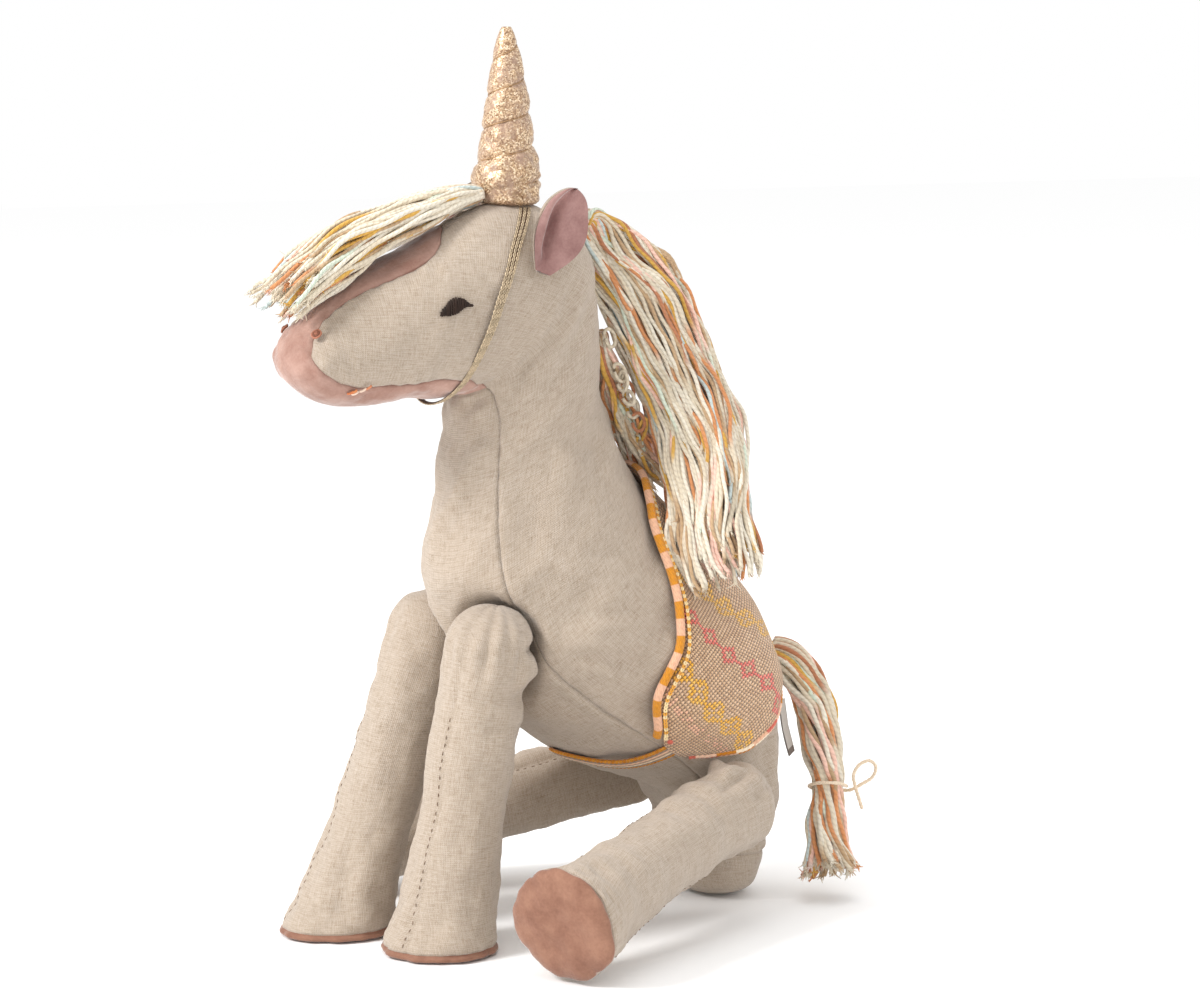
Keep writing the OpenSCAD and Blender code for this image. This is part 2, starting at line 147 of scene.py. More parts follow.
def over_skin(u, t, h):
    u, t, h = np.broadcast_arrays(*(np.asarray(x, float) for x in (u, t, h)))
    return skin(u, t) + h[..., None] * skin_normal(u, t)


def table(rows, x):
    """Straight lines between the rows (x, y) of a table."""
    rows = np.asarray(rows, float)
    return np.interp(x, rows[:, 0], rows[:, 1])


def bump(x, width):
    return np.exp(-((np.asarray(x) / width) ** 2))


def smooth(x, low, high):
    k = np.clip((np.asarray(x, float) - low) / (high - low), 0, 1)
    return k * k * (3 - 2 * k)


def lengths(path):
    """Length travelled along a path, at each of its points."""
    return np.concatenate([[0], np.cumsum(np.linalg.norm(np.diff(path, axis=0), axis=1))])


def at_lengths(s, travel, values):
    """Values in three columns, given at the lengths travel, read at the lengths s."""
    return np.stack([np.interp(s, travel, values[:, i]) for i in range(3)], -1)


def evened(values, reach):
    """Mean of each value and its neighbours, as far as reach on both sides."""
    count = 2 * reach + 1
    return np.convolve(np.pad(values, reach, mode="edge"), np.ones(count) / count, "valid")


def tree_of(points):
    """A search tree for the nearest of the points."""
    kd = KDTree(len(points))
    for k, p in enumerate(points):
        kd.insert(p, k)
    kd.balance()
    return kd


class Ripple:
    """Smooth noise in space, from -1 to 1 or so: a sum of waves in random directions."""

    def __init__(self, wavelength, waves=14):
        self.k = unit(draw.normal(size=(waves, 3))) * (2 * math.pi / wavelength)
        self.k *= draw.uniform(0.6, 1.5, (waves, 1))
        self.phase = draw.uniform(0, 2 * math.pi, waves)

    def __call__(self, p):
        p = np.asarray(p, float)
        return np.sin(p @ self.k.T + self.phase).sum(-1) / math.sqrt(len(self.phase))


# Making meshes


def grid_faces(rows, columns, wrap=False, keep=None):
    """Quads of a grid, and the row and column of each of their corners."""
    i, j = np.meshgrid(np.arange(rows - 1), np.arange(columns if wrap else columns - 1), indexing="ij")
    if keep is not None:
        i, j = i[keep], j[keep]
    i, j = i.ravel(), j.ravel()
    ri = np.stack([i, i, i + 1, i + 1], 1)
    cj = np.stack([j, j + 1, j + 1, j], 1)
    return ri * columns + cj % columns, ri, cj


def new_object(name, points, faces, material):
    """A mesh object from points in millimetres."""
    mesh = bpy.data.meshes.new(name)
    places = (np.asarray(points).reshape(-1, 3) * MM).tolist()
    mesh.from_pydata(places, [], [list(map(int, f)) for f in faces])
    mesh.materials.append(material)
    mesh.shade_smooth()
    made = bpy.data.objects.new(name, mesh)
    bpy.context.scene.collection.objects.link(made)
    return made


def paint(obj, name, colours, domain="POINT"):
    layer = obj.data.attributes.new(name, "FLOAT_COLOR", domain)
    rgba = np.ones((len(layer.data), 4), np.float32)
    rgba[:, :3] = colours
    layer.data.foreach_set("color", rgba.ravel())


def give_uv(obj, uv):
    """uv in millimetres, one pair for each face corner."""
    layer = obj.data.uv_layers.new(name="cloth")
    layer.data.foreach_set("uv", np.asarray(uv, np.float32).ravel())


def surface(name, grid, material, wrap=False, uv=None, close=(False, False), flip=False):
    """An object from a grid of points; close puts a fan on the first or last row."""
    grid = np.asarray(grid, float)
    m, n = grid.shape[:2]
    faces, ri, cj = grid_faces(m, n, wrap)
    points = grid.reshape(-1, 3)
    faces = [tuple(f) for f in faces]
    if uv is None:
        uv = cloth_uv(grid, wrap)
    corners = uv[ri, cj].reshape(-1, 2)
    for at, wanted in ((0, close[0]), (m - 1, close[1])):
        if wanted:
            hub = len(points)
            points = np.vstack([points, grid[at].mean(0)])
            for j in range(n if wrap else n - 1):
                a, b = at * n + j, at * n + (j + 1) % n
                faces.append((b, a, hub) if at == 0 else (a, b, hub))
                corners = np.vstack([corners, uv[at, j + 1], uv[at, j], uv[at, j]])
    if flip:
        faces = [f[::-1] for f in faces]
        ordered, start = [], 0
        for f in faces:
            ordered.append(corners[start:start + len(f)][::-1])
            start += len(f)
        corners = np.vstack(ordered)
    made = new_object(name, points, faces, material)
    give_uv(made, corners)
    return made


def cloth_uv(grid, wrap=False):
    """Lengths along the rows and columns of a grid, in millimetres."""
    m, n = grid.shape[:2]
    closed = np.concatenate([grid, grid[:, :1]], 1) if wrap else grid
    across = np.linalg.norm(np.diff(closed, axis=1), axis=2)
    down = np.linalg.norm(np.diff(closed, axis=0), axis=2)
    v = np.concatenate([np.zeros((m, 1)), np.cumsum(across, 1)], 1)
    v = v - v[:, -1:] / 2
    u = np.concatenate([[0], np.cumsum(down.mean(1))])
    return np.stack([np.repeat(u[:, None], closed.shape[1], 1), v], -1)


def turn_in(obj, depth):
    """Turns the raw edges of a cloth panel inwards by depth millimetres, as its seam allowance."""
    bm = bmesh.new()
    bm.from_mesh(obj.data)
    bm.normal_update()
    edges = [e for e in bm.edges if e.is_boundary]
    normals = {v: v.normal.copy() for e in edges for v in e.verts}
    made = bmesh.ops.extrude_edge_only(bm, edges=edges)["geom"]
    moved = [g for g in made if isinstance(g, bmesh.types.BMVert)]
    listed = list(normals)
    kd = tree_of([v.co for v in listed])
    for v in moved:
        v.co -= normals[listed[kd.find(v.co)[1]]] * depth * MM
    bm.to_mesh(obj.data)
    bm.free()
    obj.data.shade_smooth()


def tube_rings(path, radius, sides, twist=0.0, lobes=0, lobe_depth=0.0):
    """Rings round a path: radius may vary along it; lobes twist round it by twist turns a millimetre."""
    path = np.asarray(path, float)
    run = unit(np.gradient(path, axis=0))
    e = np.empty_like(run)
    start = np.cross(run[0], [0.3, 0.2, 1.0] if abs(run[0][2]) < 0.9 else [1.0, 0.2, 0.1])
    e[0] = unit(start)
    for k in range(1, len(path)):
        v = e[k - 1] - run[k] * np.dot(e[k - 1], run[k])
        e[k] = v / max(np.linalg.norm(v), 1e-9)
    f = np.cross(run, e)
    travel = lengths(path)
    a = np.arange(sides) * 2 * math.pi / sides
    angle = a[None, :] + 0 * travel[:, None]
    r = np.broadcast_to(np.asarray(radius, float).reshape(-1, 1), (len(path), sides)).copy()
    if lobes:
        turn = 2 * math.pi * twist * travel[:, None]
        r *= 1 - lobe_depth * (0.5 - 0.5 * np.cos(lobes * (angle - turn)))
    around = np.cos(angle)[..., None] * e[:, None] + np.sin(angle)[..., None] * f[:, None]
    return path[:, None] + r[..., None] * around


class Bundle:
    """Many tubes joined into one mesh, each ring point with a colour."""

    def __init__(self):
        self.points, self.faces, self.colours, self.corners, self.count = [], [], [], [], 0

    def add(self, rings, colour, travel=None):
        """travel gives the lengths along the tube in millimetres, for a twist in its material."""
        m, n = rings.shape[:2]
        faces, ri, cj = grid_faces(m, n, True)
        travel = np.arange(m) * 1.0 if travel is None else travel
        self.corners.append(np.stack([travel[ri], cj / n], -1)[:, ::-1].reshape(-1, 2))
        self.corners.append(np.zeros((2 * n, 2)))
        self.points.append(rings.reshape(-1, 3))
        colour = np.asarray(colour, float)
        if colour.ndim == 1:
            colour = np.repeat(colour[None], m, 0)
        self.colours.append(np.repeat(colour, n, 0))
        self.faces += [f[::-1] for f in (faces + self.count).tolist()]
        self.faces.append([self.count + j for j in range(n)])
        self.faces.append([self.count + (m - 1) * n + j for j in range(n - 1, -1, -1)])
        self.count += m * n

    def build(self, name, material):
        made = new_object(name, np.vstack(self.points), self.faces, material)
        paint(made, "tint", np.vstack(self.colours))
        give_uv(made, np.vstack(self.corners))
        return made


def is_outward(obj):
    """True if the faces of a closed mesh look outwards, by its signed volume."""
    bm = bmesh.new()
    bm.from_mesh(obj.data)
    volume = bm.calc_volume(signed=True)
    bm.free()
    return volume > 0


def attach(obj, body_name, slot, *nodes, fill=None):
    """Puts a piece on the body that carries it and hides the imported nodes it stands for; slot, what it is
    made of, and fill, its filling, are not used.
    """
    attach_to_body(obj, body_name)
    if nodes:
        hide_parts(*nodes)


# Materials


def srgb(r, g, b):
    """A colour as light, from the 0 to 255 values of a screen."""
    c = np.array([r, g, b], float) / 255
    return np.where(c <= 0.04045, c / 12.92, ((c + 0.055) / 1.055) ** 2.4)


class Look:
    """A node material: each method adds a node and returns its output."""

    def __init__(self, name, **shader):
        self.material = bpy.data.materials.new(name)
        self.material.use_nodes = True
        self.tree = self.material.node_tree
        self.shader = self.tree.nodes["Principled BSDF"]
        for key, value in shader.items():
            self.shader.inputs[key.replace("_", " ")].default_value = value

    def node(self, kind, inputs=(), out=0, **settings):
        made = self.tree.nodes.new("ShaderNode" + kind)
        for key, value in settings.items():
            setattr(made, key, value)
        for key, value in dict(inputs).items():
            self.put(made.inputs[key], value)
        return made.outputs[out]

    def put(self, socket, value):
        if isinstance(value, bpy.types.NodeSocket):
            self.tree.links.new(value, socket)
        elif isinstance(value, (tuple, list, np.ndarray)) and len(value) == 3 and socket.type == "RGBA":
            socket.default_value = (*value, 1)
        else:
            socket.default_value = value

    def math(self, operation, a, b=0.0, c=0.0):
        return self.node("Math", {0: a, 1: b, 2: c}, operation=operation)

    def mix(self, factor, a, b, blend_type="MIX"):
        """Colours a and b mixed by factor."""
        made = self.tree.nodes.new("ShaderNodeMix")
        made.data_type = "RGBA"
        made.blend_type = blend_type
        self.put(made.inputs[0], factor)
        self.put(made.inputs[6], a)
        self.put(made.inputs[7], b)
        return made.outputs[2]

    def ramp(self, factor, stops):
        made = self.tree.nodes.new("ShaderNodeValToRGB")
        elements = made.color_ramp.elements
        while len(elements) < len(stops):
            elements.new(0.5)
        for element, (at, colour) in zip(elements, stops):
            element.position = at
            element.color = (*colour, 1)
        self.put(made.inputs[0], factor)
        return made.outputs[0]

    def uv(self):
        return self.node("UVMap", uv_map="cloth")

    def lengths(self):
        """The two lengths of the cloth's own map, along it and across it."""
        made = self.tree.nodes.new("ShaderNodeSeparateXYZ")
        self.put(made.inputs[0], self.uv())
        return made.outputs[0], made.outputs[1]

    def tint(self):
        return self.node("Attribute", attribute_name="tint", out="Color")

    def place(self):
        return self.node("TexCoord", out="Object")

    def scaled(self, vector, scale):
        return self.node("Mapping", {"Vector": vector, "Scale": scale})

    def noise(self, vector, scale, detail=2.0, roughness=0.5):
        inputs = {"Vector": vector, "Scale": scale, "Detail": detail, "Roughness": roughness}
        return self.node("TexNoise", inputs)

    def finish(self, colour, height=None, strength=0.5, distance=0.3):
        self.put(self.shader.inputs["Base Color"], colour)
        if height is not None:
            bumped = self.node("Bump", {"Height": height, "Strength": strength, "Distance": distance * MM})
            self.put(self.shader.inputs["Normal"], bumped)
        return self.material


THREAD_PITCH = 0.78
CLOTH = dict(Roughness=0.95, Sheen_Weight=0.25, Sheen_Roughness=0.5, Specular_IOR_Level=0.25)
YARN = dict(Roughness=0.9, Sheen_Weight=0.35, Sheen_Roughness=0.45, Specular_IOR_Level=0.25)


def linen_look(name="linen", shade=(1.0, 1.0, 1.0)):
    """Plain weave of flax: threads of uneven thickness and colour, with dark flecks."""
    look = Look(name, **CLOTH)
    wander = look.noise(look.scaled(look.uv(), (0.16, 0.16, 1)), 1.0, 2.0)
    shift = look.math("MULTIPLY_ADD", wander, 1.6, -0.8)
    u, v = look.lengths()
    x = look.math("MULTIPLY_ADD", u, math.pi / THREAD_PITCH, shift)
    y = look.math("MULTIPLY_ADD", v, math.pi / THREAD_PITCH, shift)
    sx, sy = look.math("SINE", x), look.math("SINE", y)
    over = look.math("MULTIPLY", sx, sy)
    warp = look.math("MULTIPLY", look.math("ABSOLUTE", sx), look.math("MULTIPLY_ADD", over, 0.45, 0.75))
    weft = look.math("MULTIPLY", look.math("ABSOLUTE", sy), look.math("MULTIPLY_ADD", over, -0.45, 0.75))
    height = look.math("MAXIMUM", warp, weft)
    warp_tone = look.noise(look.scaled(look.uv(), (1.25, 0.16, 1)), 1.0, 3.0, 0.6)
    weft_tone = look.noise(look.scaled(look.uv(), (0.16, 1.25, 1)), 1.0, 3.0, 0.6)
    on_top = look.math("MULTIPLY_ADD", over, 0.5, 0.5)
    threads = look.mix(on_top, weft_tone, warp_tone)
    tone = look.ramp(threads, [(0.26, srgb(176, 160, 142) * shade), (0.42, srgb(212, 200, 184) * shade),
        (0.56, srgb(229, 219, 206) * shade), (0.75, srgb(242, 235, 226) * shade)])
    shadow = look.ramp(height, [(0.0, (0.36, 0.32, 0.27)), (0.5, (1, 1, 1)), (1.0, (1, 1, 1))])
    woven = look.mix(0.9, tone, shadow, "MULTIPLY")
    fleck = look.noise(look.scaled(look.uv(), (0.9, 0.5, 1)), 1.0, 5.0, 0.75)
    flecks = look.ramp(fleck, [(0.30, srgb(150, 124, 98)), (0.37, (1, 1, 1))])
    flecked = look.mix(0.55, woven, flecks, "MULTIPLY")
    cloud = look.noise(look.place(), 30.0, 3.0)
    worn = look.mix(look.math("MULTIPLY", cloud, 0.22), flecked, srgb(196, 176, 154) * shade)
    raised = look.math("ADD", height, look.math("MULTIPLY", threads, 1.2))
    return look.finish(worn, raised, 0.55, 0.32)


def blush_look(name, light, dark):
    """Short-napped plush: soft mottling, paler where the nap lies up."""
    look = Look(name, Roughness=0.9, Sheen_Weight=0.55, Sheen_Roughness=0.35, Specular_IOR_Level=0.2)
    place = look.place()
    cloud = look.noise(place, 120.0, 4.0, 0.6)
    nap = look.noise(place, 900.0, 3.0, 0.7)
    blotch = look.noise(place, 38.0, 2.0, 0.5)
    value = look.math("ADD", look.math("MULTIPLY", cloud, 0.5), look.math("MULTIPLY", nap, 0.22))
    value = look.math("ADD", value, look.math("MULTIPLY", blotch, 0.28))
    colour = look.ramp(value, [(0.36, dark), (0.5, (light + dark) / 2), (0.64, light)])
    height = look.math("ADD", look.math("MULTIPLY", nap, 0.6), cloud)
    return look.finish(colour, height, 0.6, 0.5)


def yarn_look(name):
    """Spun yarn: each strand's own tint, with fine fibres over it."""
    look = Look(name, **YARN)
    fine = look.noise(look.place(), 1900.0, 3.0, 0.7)
    tone = look.ramp(fine, [(0.3, (0.68, 0.64, 0.6)), (0.62, (1.08, 1.06, 1.04))])
    return look.finish(look.mix(0.8, look.tint(), tone, "MULTIPLY"), fine, 0.5, 0.25)


def stage_look(name, colour):
    look = Look(name, Roughness=0.9, Specular_IOR_Level=0.0)
    return look.finish(look.ramp(look.noise(look.place(), 3.0), [(0.0, colour), (1.0, colour)]))


# Camera, light and floor


CAMERA_AT, CAMERA_AIM = (1.21244, -0.780, 0.375), Vector((0.0203, -0.0706, 0.183))
LENS, SENSOR_WIDTH = 99.12, 36
FLOOR_HALF, FLOOR_SQUARES, FLOOR_DROP = 6.0, 24, 0.0006


def make_camera():
    data = bpy.data.cameras.new("camera")
    data.lens = LENS
    data.sensor_width = SENSOR_WIDTH
    made = bpy.data.objects.new("camera", data)
    bpy.context.scene.collection.objects.link(made)
    made.location = CAMERA_AT
    made.rotation_euler = (CAMERA_AIM - made.location).to_track_quat("-Z", "Y").to_euler()
    bpy.context.scene.camera = made


def make_light(name, place, size, power, aim=(0, -0.07, 0.15)):
    data = bpy.data.lights.new(name, "AREA")
    data.shape = "DISK"
    data.size = size
    data.energy = power
    made = bpy.data.objects.new(name, data)
    bpy.context.scene.collection.objects.link(made)
    made.location = place
    made.rotation_euler = (Vector(aim) - made.location).to_track_quat("-Z", "Y").to_euler()


def make_stage():
    scene = bpy.context.scene
    scene.view_settings.view_transform = "Standard"
    world = bpy.data.worlds.new("studio")
    scene.world = world
    world.use_nodes = True
    world.node_tree.nodes["Background"].inputs[0].default_value = (1, 1, 1, 1)
    world.node_tree.nodes["Background"].inputs[1].default_value = 1.0
    make_light("key", (-0.1, -1.9, 1.5), 0.7, 42)
    make_light("fill", (1.9, 0.5, 0.9), 1.6, 3)
    make_light("top", (0.0, 0.2, 2.2), 1.4, 8)
    bm = bmesh.new()
    bmesh.ops.create_grid(bm, x_segments=FLOOR_SQUARES, y_segments=FLOOR_SQUARES, size=FLOOR_HALF)
    mesh = bpy.data.meshes.new("floor")
    bm.to_mesh(mesh)
    bm.free()
    floor = bpy.data.objects.new("floor", mesh)
    scene.collection.objects.link(floor)
    floor.location.z = -FLOOR_DROP
    mesh.materials.append(stage_look("pale_floor", (0.98, 0.98, 0.98)))


make_camera()
make_stage()


# Cord: the yarn tied round the tail, once round it and then hanging loose

TIE_ROUTE = [
    (30.8, 51.1, 47), (34.4, 44.1, 49.8), (30.1, 36.9, 50), (22.2, 36.7, 47.1), (18.6, 43.7, 44.2),
    (23, 50.9, 44), (29, 54, 44.5), (33.8, 57, 47.8), (36.3, 61, 51), (37, 62.4, 55.5), (35.5, 60, 58.4),
    (33.2, 56.1, 56.6), (32.4, 53.6, 52.2), (34.6, 52.8, 48), (36.2, 53.6, 43), (37.2, 55, 37.5)]
TIE_R = 0.9


def make_tail_tie(material):
    steps = 6
    path = along(TIE_ROUTE, np.arange((len(TIE_ROUTE) - 1) * steps + 1) / steps)
    rings = tube_rings(path, TIE_R, 10, twist=0.28, lobes=2, lobe_depth=0.28)
    bundle = Bundle()
    bundle.add(rings, srgb(232, 214, 190))
    tie = bundle.build("tail_tie_cord", material)
    attach(tie, "tail", "yarn", "tail_tie")


make_tail_tie(yarn_look("yarn"))


# Body

TOP_COLUMNS, SIDE_COLUMNS, BELLY_COLUMNS = 14, 60, 16
# Depth of the raw edge that each panel turns inwards at its seams
HEM = 2.0


def eased(n, ease):
    """n + 1 places from 0 to 1, closer together near both ends."""
    x = np.linspace(0, 1, n + 1)
    return (1 - ease) * x + ease * (0.5 - 0.5 * np.cos(math.pi * x))


def body_rows():
    """Sections for the rows of the skin, closer together where a seam crosses."""
    stops = [0, SEAT_END, THROAT, FOREHEAD, NOSE, LAST]
    counts = [20, 142, 52, 58, 24]
    rows = [0.0]
    for low, high, count in zip(stops, stops[1:], counts):
        rows += list(low + (high - low) * eased(count, 0.75)[1:])
    return np.array(rows)


def ring_angles(u):
    """Angles of the columns right round the body, for each row."""
    top = np.where(u < FOREHEAD, 0.0, table(TOP_SEAM, u))
    belly = table(BELLY_SEAM, u)
    strip = np.linspace(0, 1, TOP_COLUMNS + 1)
    side, low = eased(SIDE_COLUMNS, 0.6), np.linspace(0, 1, BELLY_COLUMNS + 1)
    half = np.concatenate([
        top[:, None] * strip[None, :-1],
        top[:, None] + (belly - top)[:, None] * side[None, :-1],
        belly[:, None] + (180 - belly)[:, None] * low[None]], 1)
    return np.concatenate([half, 360 - half[:, -2:0:-1]], 1)


def wedge_distance(p, side):
    """Distance of points from the room that the top of a front leg sweeps, negative inside it."""
    local = p * [side, 1, 1] - np.array(SHOULDER)
    run = unit(np.array(FEET["front_left"]) - np.array(SHOULDER))
    rest = math.atan2(run[1], -run[2])
    ends = []
    for swing in SWEEP:
        a = rest - math.radians(swing)
        ends.append(SWEEP_REACH * np.array([math.sin(a), -math.cos(a)]))
    q = local[..., 1:]
    best = np.full(q.shape[:-1], 1e9)
    corners = [np.zeros(2), ends[0], ends[1]]
    inside = np.ones(q.shape[:-1], bool)
    turn = np.sign(np.cross(corners[1] - corners[0], corners[2] - corners[0]))
    for a, b in zip(corners, corners[1:] + corners[:1]):
        edge, rel = b - a, q - a
        k = np.clip((rel @ edge) / (edge @ edge), 0, 1)
        best = np.minimum(best, np.linalg.norm(rel - k[..., None] * edge, axis=-1))
        inside &= turn * (edge[0] * rel[..., 1] - edge[1] * rel[..., 0]) >= 0
    flat = np.where(inside, 0, best)
    return np.hypot(flat, local[..., 0]) - (LEG_TOP_R + GAP + 0.3)


def push_out(p, normals, distance, deepest=34.0, steps=68):
    """Moves points inwards along their normals until they are clear of a shape."""
    depth = np.zeros(p.shape[:-1])
    for k in range(steps):
        inside = distance(p - normals * depth[..., None]) < 0
        depth = np.where(inside, (k + 1) * deepest / steps, depth)
    return depth


def blurred(values, passes):
    """Averages a grid of values with its neighbours, round the columns."""
    for _ in range(passes):
        padded_rows = np.concatenate([values[:1], values, values[-1:]])
        mean = (padded_rows[:-2] + padded_rows[2:] + np.roll(values, 1, 1) + np.roll(values, -1, 1)) / 4
        values = 0.5 * values + 0.5 * mean
    return values


# Soft creases in the cloth: section and angle of both ends, half width in mm and depth in mm
CREASES = [
    (16.6, 62, 15.2, 118, 3.0, 1.5), (15.9, 40, 14.2, 96, 3.6, 1.2), (8.9, 118, 7.6, 100, 3.0, 1.8),
    (9.4, 104, 8.6, 84, 3.0, 1.3), (5.3, 118, 4.2, 96, 2.6, 1.4), (3.6, 98, 2.9, 70, 3.0, 1.2),
    (10.6, 92, 9.7, 70, 4.0, 1.1), (19.6, 70, 18.4, 96, 2.4, 0.6), (16.2, 104, 14.6, 128, 2.6, 1.3),
    (14.8, 84, 13.4, 112, 4.2, 0.9), (13.2, 132, 12.2, 168, 3.6, 0.9), (15.2, 136, 14.4, 172, 2.6, 1.1),
    (12.2, 54, 11.4, 84, 5.0, 0.8)]
CREASE_POINTS = 24


def crease_depth(points):
    depth = np.zeros(points.shape[:-1])
    for u0, t0, u1, t1, width, deep in CREASES:
        for side in (1, -1):
            k = np.linspace(0, 1, CREASE_POINTS)
            line = skin(u0 + (u1 - u0) * k, t0 + (t1 - t0) * k) * [side, 1, 1]
            gap = np.linalg.norm(points[..., None, :] - line, axis=-1)
            near = gap.argmin(-1)
            fade = np.sin(math.pi * np.clip(near / (CREASE_POINTS - 1), 0.02, 0.98)) ** 0.7
            d = gap.min(-1)
            depth += deep * fade * (bump(d, width) - 0.5 * bump(d - 1.9 * width, width))
    return depth


def make_body(linen, blush):
    u = body_rows()
    angles = ring_angles(u)
    uu = np.repeat(u[:, None], angles.shape[1], 1)
    base, normals = skin(uu, angles), skin_normal(uu, angles)
    rows, columns = base.shape[:2]

    half = TOP_COLUMNS + SIDE_COLUMNS + BELLY_COLUMNS
    j = np.arange(columns)
    mirror_j = np.minimum(j, columns - 1 - j)
    strip = np.where(mirror_j < TOP_COLUMNS, 0, np.where(mirror_j < TOP_COLUMNS + SIDE_COLUMNS, 1, 2))
    left = j < half
    mid = (u[:-1] + u[1:]) / 2
    piece = np.empty((rows - 1, columns), object)
    for i, at in enumerate(mid):
        if at < SEAT_END:
            piece[i] = "seat_panel"
        elif at > NOSE:
            piece[i] = "muzzle_gusset"
        else:
            piece[i] = np.where(left, "side_panel_left", "side_panel_right")
            piece[i, strip == 0] = "muzzle_gusset" if at > FOREHEAD else "none"
            piece[i, strip == 2] = "muzzle_gusset" if at > THROAT else "chest_gusset"

    def differ(a, b):
        return (a != b) & (a != "none") & (b != "none")

    seam = np.zeros((rows, columns), bool)
    beside, above = differ(piece, np.roll(piece, 1, 1)), differ(piece[1:], piece[:-1])
    seam[:-1] |= beside
    seam[1:] |= beside
    seam[1:-1] |= above | np.roll(above, 1, 1)
    seam[:, 0] |= (u > SEAT_END) & (u < FOREHEAD)
    line = base[seam]
    kd = tree_of(line)
    to_seam = np.array([kd.find(p)[2] for p in base.reshape(-1, 3)]).reshape(rows, columns)

    swell, fold, pucker = Ripple(58), Ripple(21), Ripple(7.5)
    lift = 0.7 * swell(base) + 0.42 * fold(base) - 0.8 * bump(to_seam, 1.0) - 0.4 * bump(to_seam, 4.5)
    lift += 0.28 * pucker(base) * bump(to_seam, 7.0) + 0.12 * pucker(base)
    lift -= crease_depth(base)
    lift *= smooth(u, 0.6, 2.2)[:, None]
    dent = np.maximum(push_out(base, normals, lambda p: wedge_distance(p, 1)),
        push_out(base, normals, lambda p: wedge_distance(p, -1)))
    lift = lift - np.maximum(dent, blurred(dent, 6))
    cloth = base + normals * lift[..., None]
    uv = cloth_uv(base, True)

    made = {}
    shown = {"side_panel_left": linen, "side_panel_right": linen, "chest_gusset": linen, "seat_panel": linen,
        "muzzle_gusset": blush}
    for name, material in shown.items():
        faces, ri, cj = grid_faces(rows, columns, True, piece == name)
        used, compact = np.unique(faces, return_inverse=True)
        quads = compact.reshape(-1, 4)[:, ::-1].tolist()
        corners = uv[ri, cj][:, ::-1].reshape(-1, 2)
        points = cloth.reshape(-1, 3)[used]
        obj = new_object(name + "_cloth", points, quads, material)
        give_uv(obj, corners)
        bm = bmesh.new()
        bm.from_mesh(obj.data)
        if name in ("seat_panel", "muzzle_gusset"):
            rims = [e for e in bm.edges if e.is_boundary]
            if name == "seat_panel":
                rim = [e for e in rims if all(v.co.z < 0.0005 for v in e.verts)]
            else:
                tip = base[-1].mean(0) * MM
                rim = [e for e in rims if all((v.co - Vector(tip)).length < 0.0075 for v in e.verts)]
            filled = bmesh.ops.holes_fill(bm, edges=rim, sides=0)["faces"]
            bmesh.ops.poke(bm, faces=filled)
        bmesh.ops.remove_doubles(bm, verts=bm.verts, dist=1e-6)
        bm.normal_update()
        bm.to_mesh(obj.data)
        bm.free()
        turn_in(obj, HEM)
        attach(obj, "torso", "blush_plush" if name == "muzzle_gusset" else "linen", name, fill=0.85)
        made[name] = obj
    return made


linen = linen_look(shade=(0.62, 0.573, 0.535))
pink = blush_look("muzzle_plush", srgb(182, 149, 136), srgb(148, 112, 99))
body = make_body(linen, pink)
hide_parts("body_stuffing")


# Legs

SIDE = {"left": 1, "right": -1}


def leg_radius(s, length):
    flare = np.clip(1 - (length - s) / FOOT_LEN, 0, None)
    top = (LEG_TOP_R - LEG_R) * np.clip(1 - s / 30, 0, None)
    return np.where(s < 0, np.sqrt(np.clip(LEG_TOP_R**2 - s**2, 0, None)),
        LEG_R + top + (FOOT_R - LEG_R) * flare**1.5)


def leg_frame(top, foot, seam_turn):
    """Direction of a leg and two directions across it; the first one faces its front seam."""
    run = unit(foot - top)
    front = unit(np.array([0, -1, 0]) - run * -run[1]) if abs(run[1]) < 0.7 else unit(
        np.array([0, 0, 1.0]) - run * run[2])
    side = np.cross(run, front)
    c, s = math.cos(math.radians(seam_turn)), math.sin(math.radians(seam_turn))
    return run, c * front + s * side, c * side - s * front


# Folds of the gathered cloth at a leg's top: angle from the seam, place along the leg, half width
# round and along it, and height, in degrees and mm
FRONT_FOLDS = [(-128, 6, 26, 4.6, 3.6), (-118, -4, 34, 3.0, -3.4), (-112, 17, 30, 4.0, -2.8),
    (-100, 11, 9, 5, 1.8), (-60, -5, 8, 9, -2.4), (-34, -3, 7, 12, -2.2), (-8, 0, 7, 12, -2.0),
    (20, 2, 9, 11, -1.6), (-84, 0, 8, 8, -2.0),
    (-74, 30, 26, 3.2, -1.3), (-40, 20, 20, 3.2, -1.2), (-20, 44, 30, 3.5, -0.9), (-90, 52, 26, 4, -0.9),
    (-150, 28, 26, 5, 1.4), (178, 24, 34, 6, 1.3)]
HIND_FOLDS = [(-18, 1, 13, 3.2, 3.4), (-40, -4, 18, 2.8, -3.4), (-2, 7, 16, 3.4, -3.0), (-48, 8, 9, 7, 2.2),
    (-66, 8, 6, 12, -2.4), (-28, 15, 24, 3.2, -2.2), (30, 4, 12, 8, 1.7), (-96, 0, 8, 10, -2.0),
    (-20, 24, 28, 4.0, 1.2), (-60, 30, 30, 3.4, -1.2), (-36, 48, 34, 3.6, -0.9), (60, 12, 8, 14, -1.2)]


